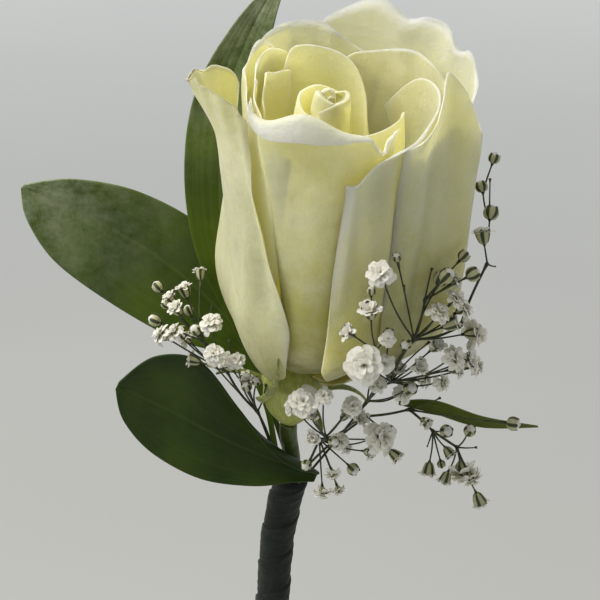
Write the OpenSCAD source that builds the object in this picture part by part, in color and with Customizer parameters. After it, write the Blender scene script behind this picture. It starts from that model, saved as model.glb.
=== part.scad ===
// A rose lapel flower: one white rose, three broad leaves, sprays of baby's breath and a narrow
// leaf, bound in dark floral tape, with a plain straight pin pushed into the back of the stem.
// Z is up, the front faces -Y, and the origin is where the pin passes into the back of the stem.

/* [Rose] */
// Height of the rose, from the foot of its petals to its rim
rose_h = 57; // [50:1:64]
// Radius of the rose, which the tables of petals share out
rose_r = 24; // [22:0.5:27]
// Thickness of a petal
petal_t = 0.6; // [0.4:0.05:0.7]
// Radius at which a petal's lip rolls over
lip_r = 2; // [1.6:0.1:2.4]
// How far the rose nods to the front, in degrees
rose_nod = 15; // [10:1:20]
// How far the rose leans to its right, in degrees
rose_lean = 6.2; // [2:0.1:10]

/* [Hip and stem] */
// Diameter of the green hip that the petals stand on
hip_d = 11; // [10:0.5:13]
// Height of the hip below the petals
hip_h = 8.5; // [7:0.5:10]
// Height of the dome inside the hip's rim, where the inner petals stand
dome_h = 4; // [3.5:0.25:5]
// Length of the longest sepal
sepal_l = 13; // [11:0.5:14]
// Diameter of the rose's own stem
stem_d = 3; // [2.4:0.1:3.4]
// How far the hip stands above the tape
neck_up = 13; // [12:0.5:16]
// How far the hip stands in front of the top of the tape
neck_out = 7.8; // [6.6:0.2:9]

/* [Tape] */
// Diameter of the stems wound with tape
wrap_d = 6.2; // [5.6:0.1:7]
// How far the taped stem reaches above the pin
wrap_up = 24.5; // [22:0.5:27]
// How far the taped stem reaches below the pin
wrap_down = 19.5; // [16:0.5:24]
// Rise of the tape in one turn
tape_pitch = 7; // [6:0.5:9]
// Height of the step where the tape laps over itself
tape_step = 0.3; // [0.15:0.05:0.4]

/* [Pin] */
// Diameter of the pin's shank
pin_d = 0.8; // [0.6:0.1:1]
// Length of the shank inside the stem
pin_in = 16; // [12:1:18]
// Length of the shank outside the stem
pin_out = 15; // [12:1:20]
// Diameter of the pin's round head
pin_head_d = 3; // [2.5:0.25:4]
// Angle between the pin and the upright, in degrees
pin_tilt = 18; // [16:1:20]
// Clearance round the shank
pin_gap = 0.15; // [0.1:0.05:0.2]

/* [Leaves] */
// Thickness of a leaf
leaf_t = 0.6; // [0.4:0.1:0.8]
// Length of the leaf behind the rose
top_leaf_l = 87; // [82:1:92]
// Width of the leaf behind the rose
top_leaf_w = 12; // [10:0.5:14]
// Length of the leaf to the left
left_leaf_l = 66; // [62:1:70]
// Width of the leaf to the left
left_leaf_w = 19; // [16:0.5:22]
// Length of the leaf in front of the stem
front_leaf_l = 38; // [34:1:42]
// Width of the leaf in front of the stem
front_leaf_w = 19; // [16:0.5:22]
// Length of the narrow leaf among the sprays
narrow_leaf_l = 24; // [20:1:28]
// Width of the narrow leaf
narrow_leaf_w = 2.6; // [2:0.2:3.4]

/* [Baby's breath] */
// Size of the sprays, which their tables share out in hundredths
spray = 50; // [48:0.5:52]
// Diameter of an open flower
flower_d = 6; // [5:0.25:6.5]
// Diameter of a bud
bud_d = 2.4; // [2:0.1:2.8]
// Thickness of a spray's stem
twig_d = 0.6; // [0.5:0.05:0.7]

/* [Hidden] */
// Gap kept between pieces that sit on each other
seat = 0.3;
// Gap between the taped stem and the cloth that it is pinned to
cloth_gap = 0.2;
hip_r = hip_d / 2;
wrap_r = wrap_d / 2;
wrap_y = -(wrap_r + cloth_gap);

// Petals. Each row of a table is one rib from the foot of the petal to its rim, in order round
// the rose. Azimuths are in degrees: 0 is the right, 90 the back, 180 the left and -90 the front.
// TOP is the rib's azimuth at the rim and FOOT lower down. BELLY and MOUTH are its radius at its
// fullest and under the lip, as shares of rose_r. RISE is the height of its crest as a share of
// rose_h. ROLL is how far the lip rolls over, in degrees, and LIP is its radius as a share of lip_r.
// HANG is how far the lip hangs on past its roll, as a share of rose_h.
TOP = 0;
FOOT = 1;
BELLY = 2;
MOUTH = 3;
RISE = 4;
ROLL = 5;
LIP = 6;
HANG = 7;

right_outer_ribs = [
    [-8, -1, 0.93, 0.9, 0.9, 20, 1, 0],
    [4, 8, 0.96, 0.945, 0.97, 40, 1.1, 0],
    [16, 16, 0.98, 0.95, 1.015, 40, 1.1, 0],
    [28, 26, 0.98, 0.945, 1.02, 40, 1.1, 0],
    [41, 36, 0.97, 0.93, 1.05, 50, 1.2, 0],
    [56, 46, 0.96, 0.92, 1.04, 55, 1.2, 0],
    [76, 56, 0.95, 0.91, 1.05, 55, 1.2, 0],
    [100, 68, 0.93, 0.9, 0.985, 40, 1, 0]];
right_side_ribs = [
    [-52, -54, 0.85, 0.85, 0.9, 5, 0.5, 0],
    [-41, -43, 0.885, 0.85, 0.955, 5, 0.5, 0],
    [-28, -35, 0.95, 0.8, 1.01, 5, 0.5, 0],
    [-17, -26, 1, 0.76, 1.06, 10, 0.5, 0],
    [-10, -18, 1.04, 0.89, 0.99, 15, 0.5, 0],
    [-6, -11, 1.04, 1, 0.885, 25, 0.6, 0],
    [3, -4, 1.04, 1.02, 0.84, 20, 0.6, 0]];
back_outer_ribs = [
    [76, 86, 0.9, 0.83, 0.8, 10, 1, 0],
    [96, 102, 0.93, 0.84, 0.86, 20, 1, 0],
    [116, 120, 0.84, 0.82, 0.86, 45, 1, 0],
    [130, 135, 0.728, 0.805, 0.79, 30, 0.8, 0]];
left_outer_ribs = [
    [139, 153, 0.72, 0.76, 0.86, 30, 1, 0],
    [156, 165, 0.62, 0.74, 0.91, 40, 1, 0],
    [174, 180, 0.55, 0.8, 0.945, 35, 0.9, 0],
    [190, 204, 0.555, 0.84, 0.955, 25, 0.8, 0],
    [204, 234, 0.65, 0.76, 0.95, 20, 0.7, 0],
    [216, 264, 0.77, 0.67, 0.93, 15, 0.6, 0]];
front_right_ribs = [
    [-77, -81, 0.9, 0.86, 0.81, 20, 0.8, 0],
    [-66, -62, 0.84, 0.78, 0.87, 70, 0.7, 0],
    [-46, -44, 0.81, 0.75, 0.91, 90, 0.8, 0],
    [-22, -24, 0.79, 0.72, 0.95, 60, 0.7, 0],
    [8, -6, 0.78, 0.7, 0.955, 30, 0.6, 0],
    [34, 5, 0.76, 0.69, 0.92, 15, 0.5, 0],
    [54, 14, 0.74, 0.68, 0.8, 5, 0.5, 0]];
front_ribs = [
    [-136, -104, 0.655, 0.72, 0.965, 30, 0.5, 0],
    [-121, -100, 0.725, 0.71, 0.95, 140, 0.6, 0.03],
    [-102, -93, 0.77, 0.71, 0.99, 155, 0.6, 0.055],
    [-84, -82, 0.78, 0.71, 0.955, 150, 0.6, 0.015],
    [-70, -73, 0.77, 0.7, 0.94, 120, 0.6, 0],
    [-61, -66, 0.76, 0.7, 0.905, 80, 0.6, 0],
    [-50, -58, 0.74, 0.68, 0.935, 40, 0.5, 0]];
back_right_ribs = [
    [4, 16, 0.84, 0.79, 0.9, 10, 0.6, 0],
    [22, 27, 0.86, 0.8, 0.94, 25, 0.6, 0],
    [42, 38, 0.87, 0.78, 0.98, 30, 0.6, 0],
    [62, 54, 0.86, 0.72, 0.95, 25, 0.6, 0],
    [84, 70, 0.8, 0.675, 0.92, 15, 0.5, 0]];
back_ribs = [
    [62, 74, 0.85, 0.77, 0.9, 10, 0.6, 0],
    [80, 86, 0.83, 0.765, 0.94, 20, 0.6, 0],
    [97, 98, 0.82, 0.77, 0.99, 45, 0.8, 0],
    [114, 110, 0.81, 0.77, 0.99, 55, 0.8, 0],
    [133, 122, 0.77, 0.735, 0.95, 30, 0.7, 0]];
left_inner_ribs = [
    [121, 136, 0.67, 0.69, 0.93, 20, 0.6, 0],
    [138, 148, 0.63, 0.66, 0.965, 40, 0.6, 0],
    [158, 164, 0.53, 0.59, 0.94, 20, 0.5, 0],
    [182, 184, 0.485, 0.54, 0.91, 10, 0.5, 0],
    [215, 212, 0.51, 0.545, 0.885, 5, 0.5, 0],
    [254, 254, 0.62, 0.62, 0.86, 5, 0.5, 0]];
right_inner_ribs = [
    [ 50,  34, 0.56, 0.46, 0.80, 5, 0.5, 0],
    [ 64,  56, 0.57, 0.48, 0.90, 10, 0.5, 0],
    [ 80,  80, 0.58, 0.50, 0.95, 20, 0.5, 0],
    [105, 104, 0.58, 0.51, 0.97, 25, 0.5, 0],
    [128, 126, 0.56, 0.51, 0.97, 10, 0.5, 0]];
left_fold_outer_ribs = [
    [112, 128, 0.6, 0.595, 0.93, 10, 0.5, 0],
    [138, 146, 0.545, 0.57, 0.95, 25, 0.5, 0],
    [164, 166, 0.455, 0.505, 0.93, 15, 0.5, 0],
    [190, 188, 0.425, 0.475, 0.9, 10, 0.5, 0],
    [222, 214, 0.46, 0.485, 0.86, 5, 0.5, 0]];
left_fold_ribs = [
    [120, 140, 0.46, 0.45, 0.91, 5, 0.5, 0],
    [144, 156, 0.43, 0.45, 0.925, 20, 0.5, 0],
    [170, 176, 0.375, 0.43, 0.915, 15, 0.5, 0],
    [198, 198, 0.36, 0.41, 0.88, 10, 0.5, 0]];
front_inner_ribs = [
    [-140, -128, 0.50, 0.44, 0.86, 5, 0.5, 0],
    [-112, -108, 0.54, 0.46, 0.88, 10, 0.5, 0],
    [-84, -86, 0.57, 0.48, 0.88, 15, 0.5, 0],
    [-54, -60, 0.60, 0.50, 0.89, 15, 0.5, 0],
    [-18, -34, 0.60, 0.51, 0.90, 10, 0.5, 0],
    [ 16, -16, 0.56, 0.50, 0.88, 5, 0.5, 0]];

// The heart is a spiral of petals round one another, each worked out from its number
heart_petals = 4;
heart_turn = 137.5;
heart_span = 190;
heart_r = 0.065;
heart_step = 0.042;
heart_rise = 0.90;

// Where a rib is fullest and where the petal starts to fan out, as shares of its height
belly_at = 0.39;
fan_from = 0.35;
fan_power = 1.3;
// The shortest hang, which keeps the last row of a lip apart from the one before
least_hang = 0.006;
// Part of its width that a petal keeps at its foot
claw = 0.95;
// How soon a petal spreads out above its foot: the smaller, the rounder the rose is below
foot_round = 0.75;
// Radii of the rings that the petals stand on, as shares of the hip's radius
rings = [0.38, 0.54, 0.71, 0.9];

function unit(v) = v / norm(v);
function clamp(v, low, high) = min(max(v, low), high);
function dome_z(r) = dome_h * (1 - pow(r / hip_r, 2));
// A row between the rows of a table, on a smooth curve through them
function between(rows, at) =
    let (last = len(rows) - 1, i = clamp(floor(at), 0, last - 1), f = at - i,
        a = rows[max(i - 1, 0)], b = rows[i], c = rows[i + 1], d = rows[min(i + 2, last)])
    0.5 * (2 * b + (c - a) * f + (2 * a - 5 * b + 4 * c - d) * f * f
        + (3 * b - a - 3 * c + d) * f * f * f);
function resampled(rows, n) = [for (i = [0:n - 1]) between(rows, i * (len(rows) - 1) / (n - 1))];

// Stations along a rib: 0 to 1 runs from the foot to the mouth, 1 to 2 round the lip, and 2 to 3
// down the part that hangs
full_rows = [0, 0.08, 0.18, 0.31, 0.48, 0.66, 0.84, 1, 1.33, 1.67, 2];
hung_rows = concat(full_rows, [3]);
plain_rows = [0, 0.1, 0.24, 0.42, 0.6, 0.78, 0.92, 1.2, 2];

function rib_point(rib, s, foot_r, mid) =
    let (belly = rib[BELLY] * rose_r, mouth = rib[MOUTH] * rose_r, lip = rib[LIP] * lip_r,
        foot_z = dome_z(foot_r) + seat + petal_t / 2,
        lean = atan((mouth - belly) * 1.57 / ((1 - belly_at) * rose_h * rib[RISE])),
        crest = lip * (sin(min(90, lean + rib[ROLL])) - sin(lean)),
        h = rose_h * rib[RISE] - foot_z - crest,
        body = min(s, 1), phi = lean + rib[ROLL] * clamp(s - 1, 0, 1),
        hang = rose_h * max(rib[HANG], least_hang) * max(s - 2, 0),
        r = (body < belly_at
            ? foot_r + (belly - foot_r) * pow(sin(90 * body / belly_at), foot_round)
            : belly + (mouth - belly) * (1 - cos(90 * (body - belly_at) / (1 - belly_at))))
            + lip * (cos(lean) - cos(phi)) + hang * sin(phi),
        z = foot_z + h * body + lip * (sin(phi) - sin(lean)) + hang * cos(phi),
        narrow = claw + (1 - claw) * min(body / fan_from, 1),
        fan = pow(max(body - fan_from, 0) / (1 - fan_from), fan_power),
        az = mid + (rib[FOOT] - mid) * narrow + (rib[TOP] - rib[FOOT]) * fan)
    [r * cos(az), r * sin(az), z];

// A closed wall of thickness t on a grid of points, whose rows run along the outer list
function grid_normal(g, i, j) =
    let (n = len(g) - 1, m = len(g[0]) - 1)
    unit(cross(g[min(i + 1, n)][j] - g[max(i - 1, 0)][j], g[i][min(j + 1, m)] - g[i][max(j - 1, 0)]));
module wall(g, t) {
    n = len(g);
    m = len(g[0]);
    front = [for (i = [0:n - 1]) for (j = [0:m - 1]) g[i][j] + grid_normal(g, i, j) * t / 2];
    back = [for (i = [0:n - 1]) for (j = [0:m - 1]) g[i][j] - grid_normal(g, i, j) * t / 2];
    k = n * m;
    cells = [for (i = [0:n - 2]) for (j = [0:m - 2]) i * m + j];
    faces = concat(
        [for (c = cells) each [[c, c + m + 1, c + m], [c, c + 1, c + m + 1]]],
        [for (c = cells) each [[k + c, k + c + m, k + c + m + 1], [k + c, k + c + m + 1, k + c + 1]]],
        [for (j = [0:m - 2]) each [[j, k + j, k + j + 1], [j, k + j + 1, j + 1]]],
        [for (j = [0:m - 2], c = (n - 1) * m + j) each [[c, k + c + 1, k + c], [c, c + 1, k + c + 1]]],
        [for (i = [0:n - 2], c = i * m) each [[c, c + m, k + c + m], [c, k + c + m, k + c]]],
        [for (i = [0:n - 2], c = i * m + m - 1) each [[c, k + c + m, c + m], [c, k + c, k + c + m]]]);
    polyhedron(concat(front, back), faces, convexity = 8);
}

// The taped stem. Each row: height as a share of the whole, and how far the stem stands aside and
// to the front there, as shares of wrap_d
wrap_rows = [[0, -0.34, 0], [0.25, -0.14, 0], [0.445, 0, 0], [0.72, 0.15, -0.2], [1, 0.52, -0.75]];
function wrap_at(u) =
    let (row = between(wrap_rows, u * (len(wrap_rows) - 1)))
    [row[1] * wrap_d, wrap_y + row[2] * wrap_d, row[0] * (wrap_up + wrap_down) - wrap_down];
wrap_rings = 28;
wrap_sides = 12;
// The middle of the taped stem's top, the way that it faces, and a spot just above it, which lies
// to the right and to the back by shares of wrap_r
wrap_top = wrap_at(1);
top_way = unit(wrap_top - wrap_at(0.96));
top_right = unit(cross([0, 1, 0], top_way));
top_back = cross(top_way, top_right);
function tape_spot(right, back, up) =
    wrap_top + wrap_r * (top_right * right + top_back * back) + top_way * up;

// The rose's axis, and the middle of its hip's rim
rose_axis = [sin(rose_lean) * cos(rose_nod), -sin(rose_nod), cos(rose_lean) * cos(rose_nod)];
hip_foot = wrap_top + [-stem_d / 15, -neck_out, neck_up];
rose_at = hip_foot + rose_axis * hip_h;

module on_rose() { translate(rose_at) rotate([rose_nod, rose_lean, 0]) children(); }

module petal(ribs, ring, n, rows) {
    mid = (ribs[0][FOOT] + ribs[len(ribs) - 1][FOOT]) / 2;
    wall([for (rib = resampled(ribs, n)) [for (s = rows) rib_point(rib, s, rings[ring] * hip_r, mid)]],
        petal_t);
}

petal_white = [0.91, 0.91, 0.80];
petal_cream = [0.90, 0.88, 0.62];

// The heart: its petals rise together from one short stalk
function heart_ribs(k) =
    let (mid = 40 + heart_turn * k, r = heart_r + heart_step * k)
    [for (u = [-1:0.5:1]) [mid + u * heart_span / 2, mid + u * heart_span / 2, r * 1.25, r + 0.012 * u,
        heart_rise + 0.01 * k - 0.02 * abs(u), 5, 0.4, 0]];
module rose_heart() {
    stalk_r = rings[0] * hip_r - petal_t - seat;
    steps = 8;
    stalk = [for (i = [0:steps]) [dome_h + seat + rose_h * 0.14 * i / steps, stalk_r * (1 + i / steps)]];
    color(petal_cream) on_rose() {
        for (i = [0:steps - 1])
            hull() {
                translate([0, 0, stalk[i][0]]) cylinder(r = stalk[i][1], h = 0.01, $fn = 8);
                translate([0, 0, stalk[i + 1][0]]) cylinder(r = stalk[i + 1][1], h = 0.01, $fn = 8);
            }
        for (k = [0:heart_petals - 1])
            wall([for (rib = resampled(heart_ribs(k), 7))
                [for (s = [0.02, 0.16, 0.38, 0.75, 2]) rib_point(rib, s, stalk_r * 0.6, rib[FOOT])]],
                petal_t);
    }
}
module petal_left_fold() { color(petal_cream) on_rose() petal(left_fold_ribs, 0, 7, plain_rows); }
module petal_left_fold_outer() { color(petal_cream) on_rose() petal(left_fold_outer_ribs, 1, 8, plain_rows); }
module petal_right_inner() { color(petal_cream) on_rose() petal(right_inner_ribs, 0, 8, plain_rows); }
module petal_front_inner() { color(petal_cream) on_rose() petal(front_inner_ribs, 0, 9, plain_rows); }
module petal_front() { color(petal_white) on_rose() petal(front_ribs, 1, 11, hung_rows); }
module petal_front_right() { color(petal_white) on_rose() petal(front_right_ribs, 2, 12, full_rows); }
module petal_left_inner() { color(petal_cream) on_rose() petal(left_inner_ribs, 2, 11, full_rows); }
module petal_back() { color(petal_white) on_rose() petal(back_ribs, 2, 8, full_rows); }
module petal_back_right() { color(petal_white) on_rose() petal(back_right_ribs, 2, 8, full_rows); }
module petal_right_side() { color(petal_white) on_rose() petal(right_side_ribs, 3, 9, full_rows); }
module petal_right_outer() { color(petal_white) on_rose() petal(right_outer_ribs, 3, 12, full_rows); }
module petal_left_outer() { color(petal_white) on_rose() petal(left_outer_ribs, 3, 11, full_rows); }
module petal_back_outer() { color(petal_white) on_rose() petal(back_outer_ribs, 3, 8, full_rows); }

// Leaves. Each row of a table is a section across the leaf, from its base to its tip. ALONG, ASIDE
// and OUT place the midrib along the leaf, to its left and to its front, as shares of the leaf's
// length. LEFT and RIGHT are the widths of the two halves as shares of the leaf's width, and
// LEFT_TURN and RIGHT_TURN how far each half turns to the front, in degrees.
ALONG = 0;
ASIDE = 1;
OUT = 2;
LEFT = 3;
RIGHT = 4;
LEFT_TURN = 5;
RIGHT_TURN = 6;

top_leaf_rows = [
    [0.00,  0.00, 0.00, 0.05, 0.05, 5, 5],
    [0.16,  0.05, 0.01, 0.05, 0.05, 5, 5],
    [0.31,  0.10, 0.01, 0.18, 0.18, 6, 6],
    [0.44,  0.13, 0.00, 0.42, 0.42, 6, 6],
    [0.60,  0.14, 0.00, 0.50, 0.50, 6, 6],
    [0.76,  0.12, 0.00, 0.47, 0.46, 6, 6],
    [0.90,  0.065, 0.00, 0.27, 0.27, 6, 6],
    [1.00,  0.00, 0.00, 0.02, 0.02, 5, 5]];
left_leaf_rows = [
    [0.00,  0.00, 0.00, 0.04, 0.04, 5, 5],
    [0.15, -0.09, -0.02, 0.04, 0.04, 5, 5],
    [0.29, -0.15, -0.035, 0.18, 0.16, 6, 6],
    [0.44, -0.155, -0.045, 0.50, 0.40, 7, 7],
    [0.62, -0.13, -0.04, 0.62, 0.50, 8, 8],
    [0.80, -0.08, -0.005, 0.55, 0.46, 8, 8],
    [0.93, -0.03, 0.03, 0.28, 0.28, 7, 7],
    [1.00,  0.00, 0.04, 0.02, 0.02, 5, 5]];
front_leaf_rows = [
    [0.00,  0.00, 0.00, 0.06, 0.08, 30, 60],
    [0.10,  0.00, 0.02, 0.14, 0.22, 26, 74],
    [0.27,  0.01, 0.03, 0.30, 0.38, 20, 62],
    [0.49,  0.01, 0.03, 0.42, 0.52, 16, 38],
    [0.73,  0.00, 0.01, 0.42, 0.64, 14, 20],
    [0.91,  0.00, 0.00, 0.26, 0.44, 10, 14],
    [1.00,  0.00, 0.00, 0.03, 0.04, 8, 8]];
narrow_leaf_rows = [
    [0.00,  0.00, 0.00, 0.12, 0.12, 20, 20],
    [0.25,  0.02, 0.01, 0.50, 0.50, 30, 30],
    [0.60, -0.04, 0.01, 0.40, 0.40, 20, 20],
    [1.00, -0.02, 0.00, 0.05, 0.05, 10, 10]];

// A leaf lies in the plane of X and Y, its base at the origin and its tip towards +X
function leaf_point(row, length, width, t) =
    let (half = (t > 0 ? row[LEFT] : row[RIGHT]) * width,
        turn = t > 0 ? row[LEFT_TURN] : row[RIGHT_TURN],
        way = t > 0 ? 1 : -1, a = abs(t))
    [row[ALONG] * length, row[ASIDE] * length + way * half * a * cos(turn * a),
        row[OUT] * length + half * a * sin(turn * a)];
module leaf(rows, length, width, n, across = [-1, -0.66, -0.33, 0, 0.33, 0.66, 1]) {
    wall([for (row = resampled(rows, n))
        [for (t = across) leaf_point(row, length, width, t)]], leaf_t);
}
// Stands a leaf up in front of the cloth: heading turns it from the right, anticlockwise as seen
// from the front, and tip_out brings its tip to the front
module stood(at, heading, tip_out, roll) {
    translate(at) rotate([90, 0, 0]) rotate([0, 0, heading]) rotate([0, -tip_out, 0])
        rotate([roll, 0, 0]) children();
}

leaf_green = [0.23, 0.29, 0.11];
module leaf_top() {
    color(leaf_green) stood(tape_spot(-0.06, 0.77, seat + leaf_t / 2), 90, -3, 0)
        leaf(top_leaf_rows, top_leaf_l, top_leaf_w, 12);
}
module leaf_left() {
    color(leaf_green) stood(tape_spot(-0.81, 0.48, seat + leaf_t / 2), 131, -4, 0)
        leaf(left_leaf_rows, left_leaf_l, left_leaf_w, 12);
}
module leaf_front() {
    color(leaf_green) stood(tape_spot(1.35, -0.94, seat + wrap_r), 154, 2, 0)
        leaf(front_leaf_rows, front_leaf_l, front_leaf_w, 12);
}
module narrow_leaf() {
    color([0.36, 0.42, 0.18]) stood(wrap_top + spray / 100 * [36.5, -20.5, 33.8], -9, 0, 0)
        leaf(narrow_leaf_rows, narrow_leaf_l, narrow_leaf_w, 7, [-1, 0, 1]);
}

// The hip is a stack of rounds, and its sepals curl away from its sides.
// Each row of the stack: height above the rim as a share of hip_h, and radius as a share of hip_r
hip_rows = [[-1, 0.30], [-0.9, 0.46], [-0.7, 0.72], [-0.45, 0.9], [-0.18, 0.94], [0, 0.99]];
dome_steps = 3;
hip_sides = 16;
// Sepals: FOOT_AZ and TIP_AZ are azimuths. LONG is the length as a share of sepal_l. FOOT_WAY and
// TIP_WAY are angles from the rose's axis. LOW is how far the foot lies below the rim, as a share of
// hip_h, and FROM its distance from the axis as a share of hip_r.
FOOT_AZ = 0;
TIP_AZ = 1;
LONG = 2;
FOOT_WAY = 3;
TIP_WAY = 4;
LOW = 5;
FROM = 6;
sepal_rows = [
    [-165, -101, 1.00, 14, 62, 0.55, 0.82],
    [ -60,  -58, 0.50, 60, 160, 0.3, 0.86],
    [  14,   12, 0.75, 60, 150, 0.3, 0.86],
    [  86,   84, 0.75, 60, 140, 0.3, 0.86],
    [ 158,  162, 0.75, 60, 130, 0.3, 0.86]];
sepal_w = 2;
sepal_t = 0.5;
sepal_steps = 5;
function sepal_way(row, u) = row[FOOT_WAY] + (row[TIP_WAY] - row[FOOT_WAY]) * u;
// Distance along a sepal's curve up to step k, outwards for part 0 and upwards for part 1
function sepal_run(row, k, part) =
    k < 1 ? 0
    : let (way = sepal_way(row, k / sepal_steps))
        sepal_run(row, k - 1, part) + row[LONG] * sepal_l / sepal_steps * (part == 0 ? sin(way) : cos(way));
function sepal_point(row, k, t) =
    let (u = k / sepal_steps,
        r = hip_r * row[FROM] + sepal_run(row, k, 0),
        z = -hip_h * row[LOW] + sepal_run(row, k, 1),
        az = row[FOOT_AZ] + (row[TIP_AZ] - row[FOOT_AZ]) * (1 - pow(1 - u, 2)),
        half = sepal_w / 2 * (1 - 0.85 * pow(u, 1.5)))
    [r * cos(az) - half * t * sin(az), r * sin(az) + half * t * cos(az), z];
module hip_stack() {
    dome = [for (i = [1:dome_steps]) let (r = hip_r * 0.98 * (1 - i / dome_steps)) [dome_z(r), max(r, 0.2)]];
    stack = concat([for (row = hip_rows) [row[0] * hip_h, row[1] * hip_r]], dome);
    for (i = [0:len(stack) - 2])
        hull()
            for (part = [stack[i], stack[i + 1]])
                translate([0, 0, part[0]]) cylinder(r = part[1], h = 0.01, $fn = hip_sides);
}
module calyx() {
    color([0.60, 0.62, 0.33]) on_rose() {
        hip_stack();
        for (row = sepal_rows)
            wall([for (k = [0:sepal_steps]) [for (t = [-1, 1]) sepal_point(row, k, t)]], sepal_t);
    }
}

// A tube along a route, with the radius of each ring
function along(route, i) = unit(route[min(i + 1, len(route) - 1)] - route[max(i - 1, 0)]);
function ring_points(at, way, r, sides) =
    let (x = unit(cross(way, [0, 1, 0])), y = cross(way, x))
    [for (k = [0:sides - 1]) at + r[k % len(r)] * (x * cos(360 * k / sides) + y * sin(360 * k / sides))];
module tube(route, radii, sides) {
    n = len(route);
    points = [for (i = [0:n - 1]) each ring_points(route[i], along(route, i), radii[i], sides)];
    polyhedron(points, concat(
        [[for (k = [0:sides - 1]) k]],
        [[for (k = [sides - 1:-1:0]) (n - 1) * sides + k]],
        [for (i = [0:n - 2]) for (k = [0:sides - 1]) let (a = i * sides + k, b = i * sides + (k + 1) % sides)
            each [[a, a + sides, b + sides], [a, b + sides, b]]]), convexity = 6);
}

// The rose's stem runs from the tape to the foot of the hip
module rose_stem() {
    foot = tape_spot(0, 0, seat);
    head = hip_foot - rose_axis * seat;
    pull = neck_up / 3;
    route = [for (u = [0:0.2:1]) foot * pow(1 - u, 3) + (foot + top_way * pull) * 3 * u * pow(1 - u, 2)
        + (head - rose_axis * pull) * 3 * u * u * (1 - u) + head * pow(u, 3)];
    color([0.35, 0.42, 0.18]) tube(route, [for (p = route) [stem_d / 2]], 10);
}

// The taped stem, with the tape's lap climbing round it
function tape_r(z, k) =
    let (turn = z / tape_pitch - k / wrap_sides, lap = turn - floor(turn))
    wrap_r - tape_step + tape_step * lap;
module tape_wrap() {
    route = [for (i = [0:wrap_rings - 1]) wrap_at(i / (wrap_rings - 1))];
    color([0.12, 0.16, 0.15]) difference() {
        tube(route, [for (p = route) [for (k = [0:wrap_sides - 1]) tape_r(p[2], k)]], wrap_sides);
        rotate([pin_tilt, 0, 0]) translate([0, 0, -wrap_r])
            cylinder(d = pin_d + 2 * pin_gap, h = wrap_r + pin_in + seat, $fn = 32);
    }
}

// The pin: a shank with a point, and a round head behind the cloth
module corsage_pin() {
    point_h = 2.5 * pin_d;
    color([0.75, 0.76, 0.78]) rotate([pin_tilt, 0, 0]) {
        translate([0, 0, -pin_out]) cylinder(d = pin_d, h = pin_in + pin_out - point_h, $fn = 32);
        translate([0, 0, pin_in - point_h]) cylinder(d1 = pin_d, d2 = 0.1, h = point_h, $fn = 32);
        translate([0, 0, -pin_out - pin_head_d * 0.4]) sphere(d = pin_head_d, $fn = 32);
    }
}

// Sprays. Each row is one point of a spray: the row of the point that it grows from, or -1 for the
// tape, then its place to the right, to the back and up from the top of the tape, in hundredths of
// spray, then its kind and its size as a share of that kind's diameter
FORK = 0;
OPEN = 1;
BELL = 2;
BUD = 3;

left_rows = [
    [-1,  -6,  -6,  11, FORK, 1],
    [ 0, -11, -18,  30, FORK, 1],
    [ 1, -21, -24,  46, FORK, 1],
    [ 2, -29, -22,  56, FORK, 1],
    [ 3, -43, -14,  71, BUD, 0.87],
    [ 3, -34, -22,  71, BELL, 0.62],
    [ 3, -30, -11,  74, BELL, 0.54],
    [ 3, -40, -20,  67, BUD, 0.74],
    [ 3, -43, -21,  62, BUD, 0.94],
    [ 3, -36, -28,  67, BELL, 0.59],
    [ 2, -40, -27,  58, OPEN, 0.75],
    [ 2, -33, -18,  54, OPEN, 0.65],
    [ 2, -25, -38,  65, OPEN, 0.7],
    [ 2, -24, -40,  56, OPEN, 0.67],
    [ 1, -19, -34,  50, BELL, 0.7],
    [ 1, -11, -34,  45, BUD, 0.67]];
low_rows = [
    [-1,  10, -12,  18, FORK, 1],
    [ 0,  12, -33,  26, FORK, 1],
    [ 1,   5, -49,  43, OPEN, 0.97],
    [ 1,  11, -52,  46, OPEN, 0.56],
    [ 0,   8, -28,  24, BELL, 0.54],
    [ 1,  17, -36,  33, BELL, 0.43],
    [ 0,  14, -17,   9, OPEN, 0.54],
    [ 0,  11, -15,   2, OPEN, 0.59],
    [ 0,  18, -20,  18, OPEN, 0.46],
    [ 0,  28, -36,  27, OPEN, 1.08]];
right_rows = [
    [-1,  26, -22,  35, FORK, 1],
    [ 0,  33, -42,  48, FORK, 1],
    [ 1,  39, -62,  68, FORK, 1],
    [ 2,  42, -66,  82, FORK, 1],
    [ 1,  27, -67,  66, FORK, 1],
    [ 4,  23, -78,  65, OPEN, 1.16],
    [ 4,  25, -76,  79, BELL, 0.73],
    [ 6,  25, -76,  86, BUD, 0.6],
    [ 2,  28, -80,  93, OPEN, 0.81],
    [ 2,  33, -73,  96, BUD, 0.6],
    [ 1,  31, -66,  70, BUD, 0.81],
    [ 2,  37, -66,  68, BUD, 0.74],
    [ 3,  47, -67,  88, BUD, 1.08],
    [ 3,  53, -60,  93, BUD, 0.81],
    [ 3,  55, -62,  88, BUD, 1.01],
    [ 2,  50, -64,  80, OPEN, 0.67],
    [ 2,  55, -56,  68, OPEN, 0.94],
    [ 1,  45, -56,  63, BELL, 0.62],
    [ 1,  51, -52,  55, BELL, 0.59],
    [ 1,  58, -46,  54, OPEN, 0.65],
    [ 1,  42, -40,  48, OPEN, 0.59],
    [ 0,  36, -34,  41, OPEN, 0.65],
    [ 2,  54, -54,  70, FORK, 1],
    [22,  63, -44,  88, FORK, 1],
    [23,  62, -43,  94, BELL, 0.73],
    [24,  64, -38, 101, BUD, 1.08],
    [25,  62, -34, 109, BUD, 0.87],
    [26,  65, -32, 118, BUD, 0.81]];
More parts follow.
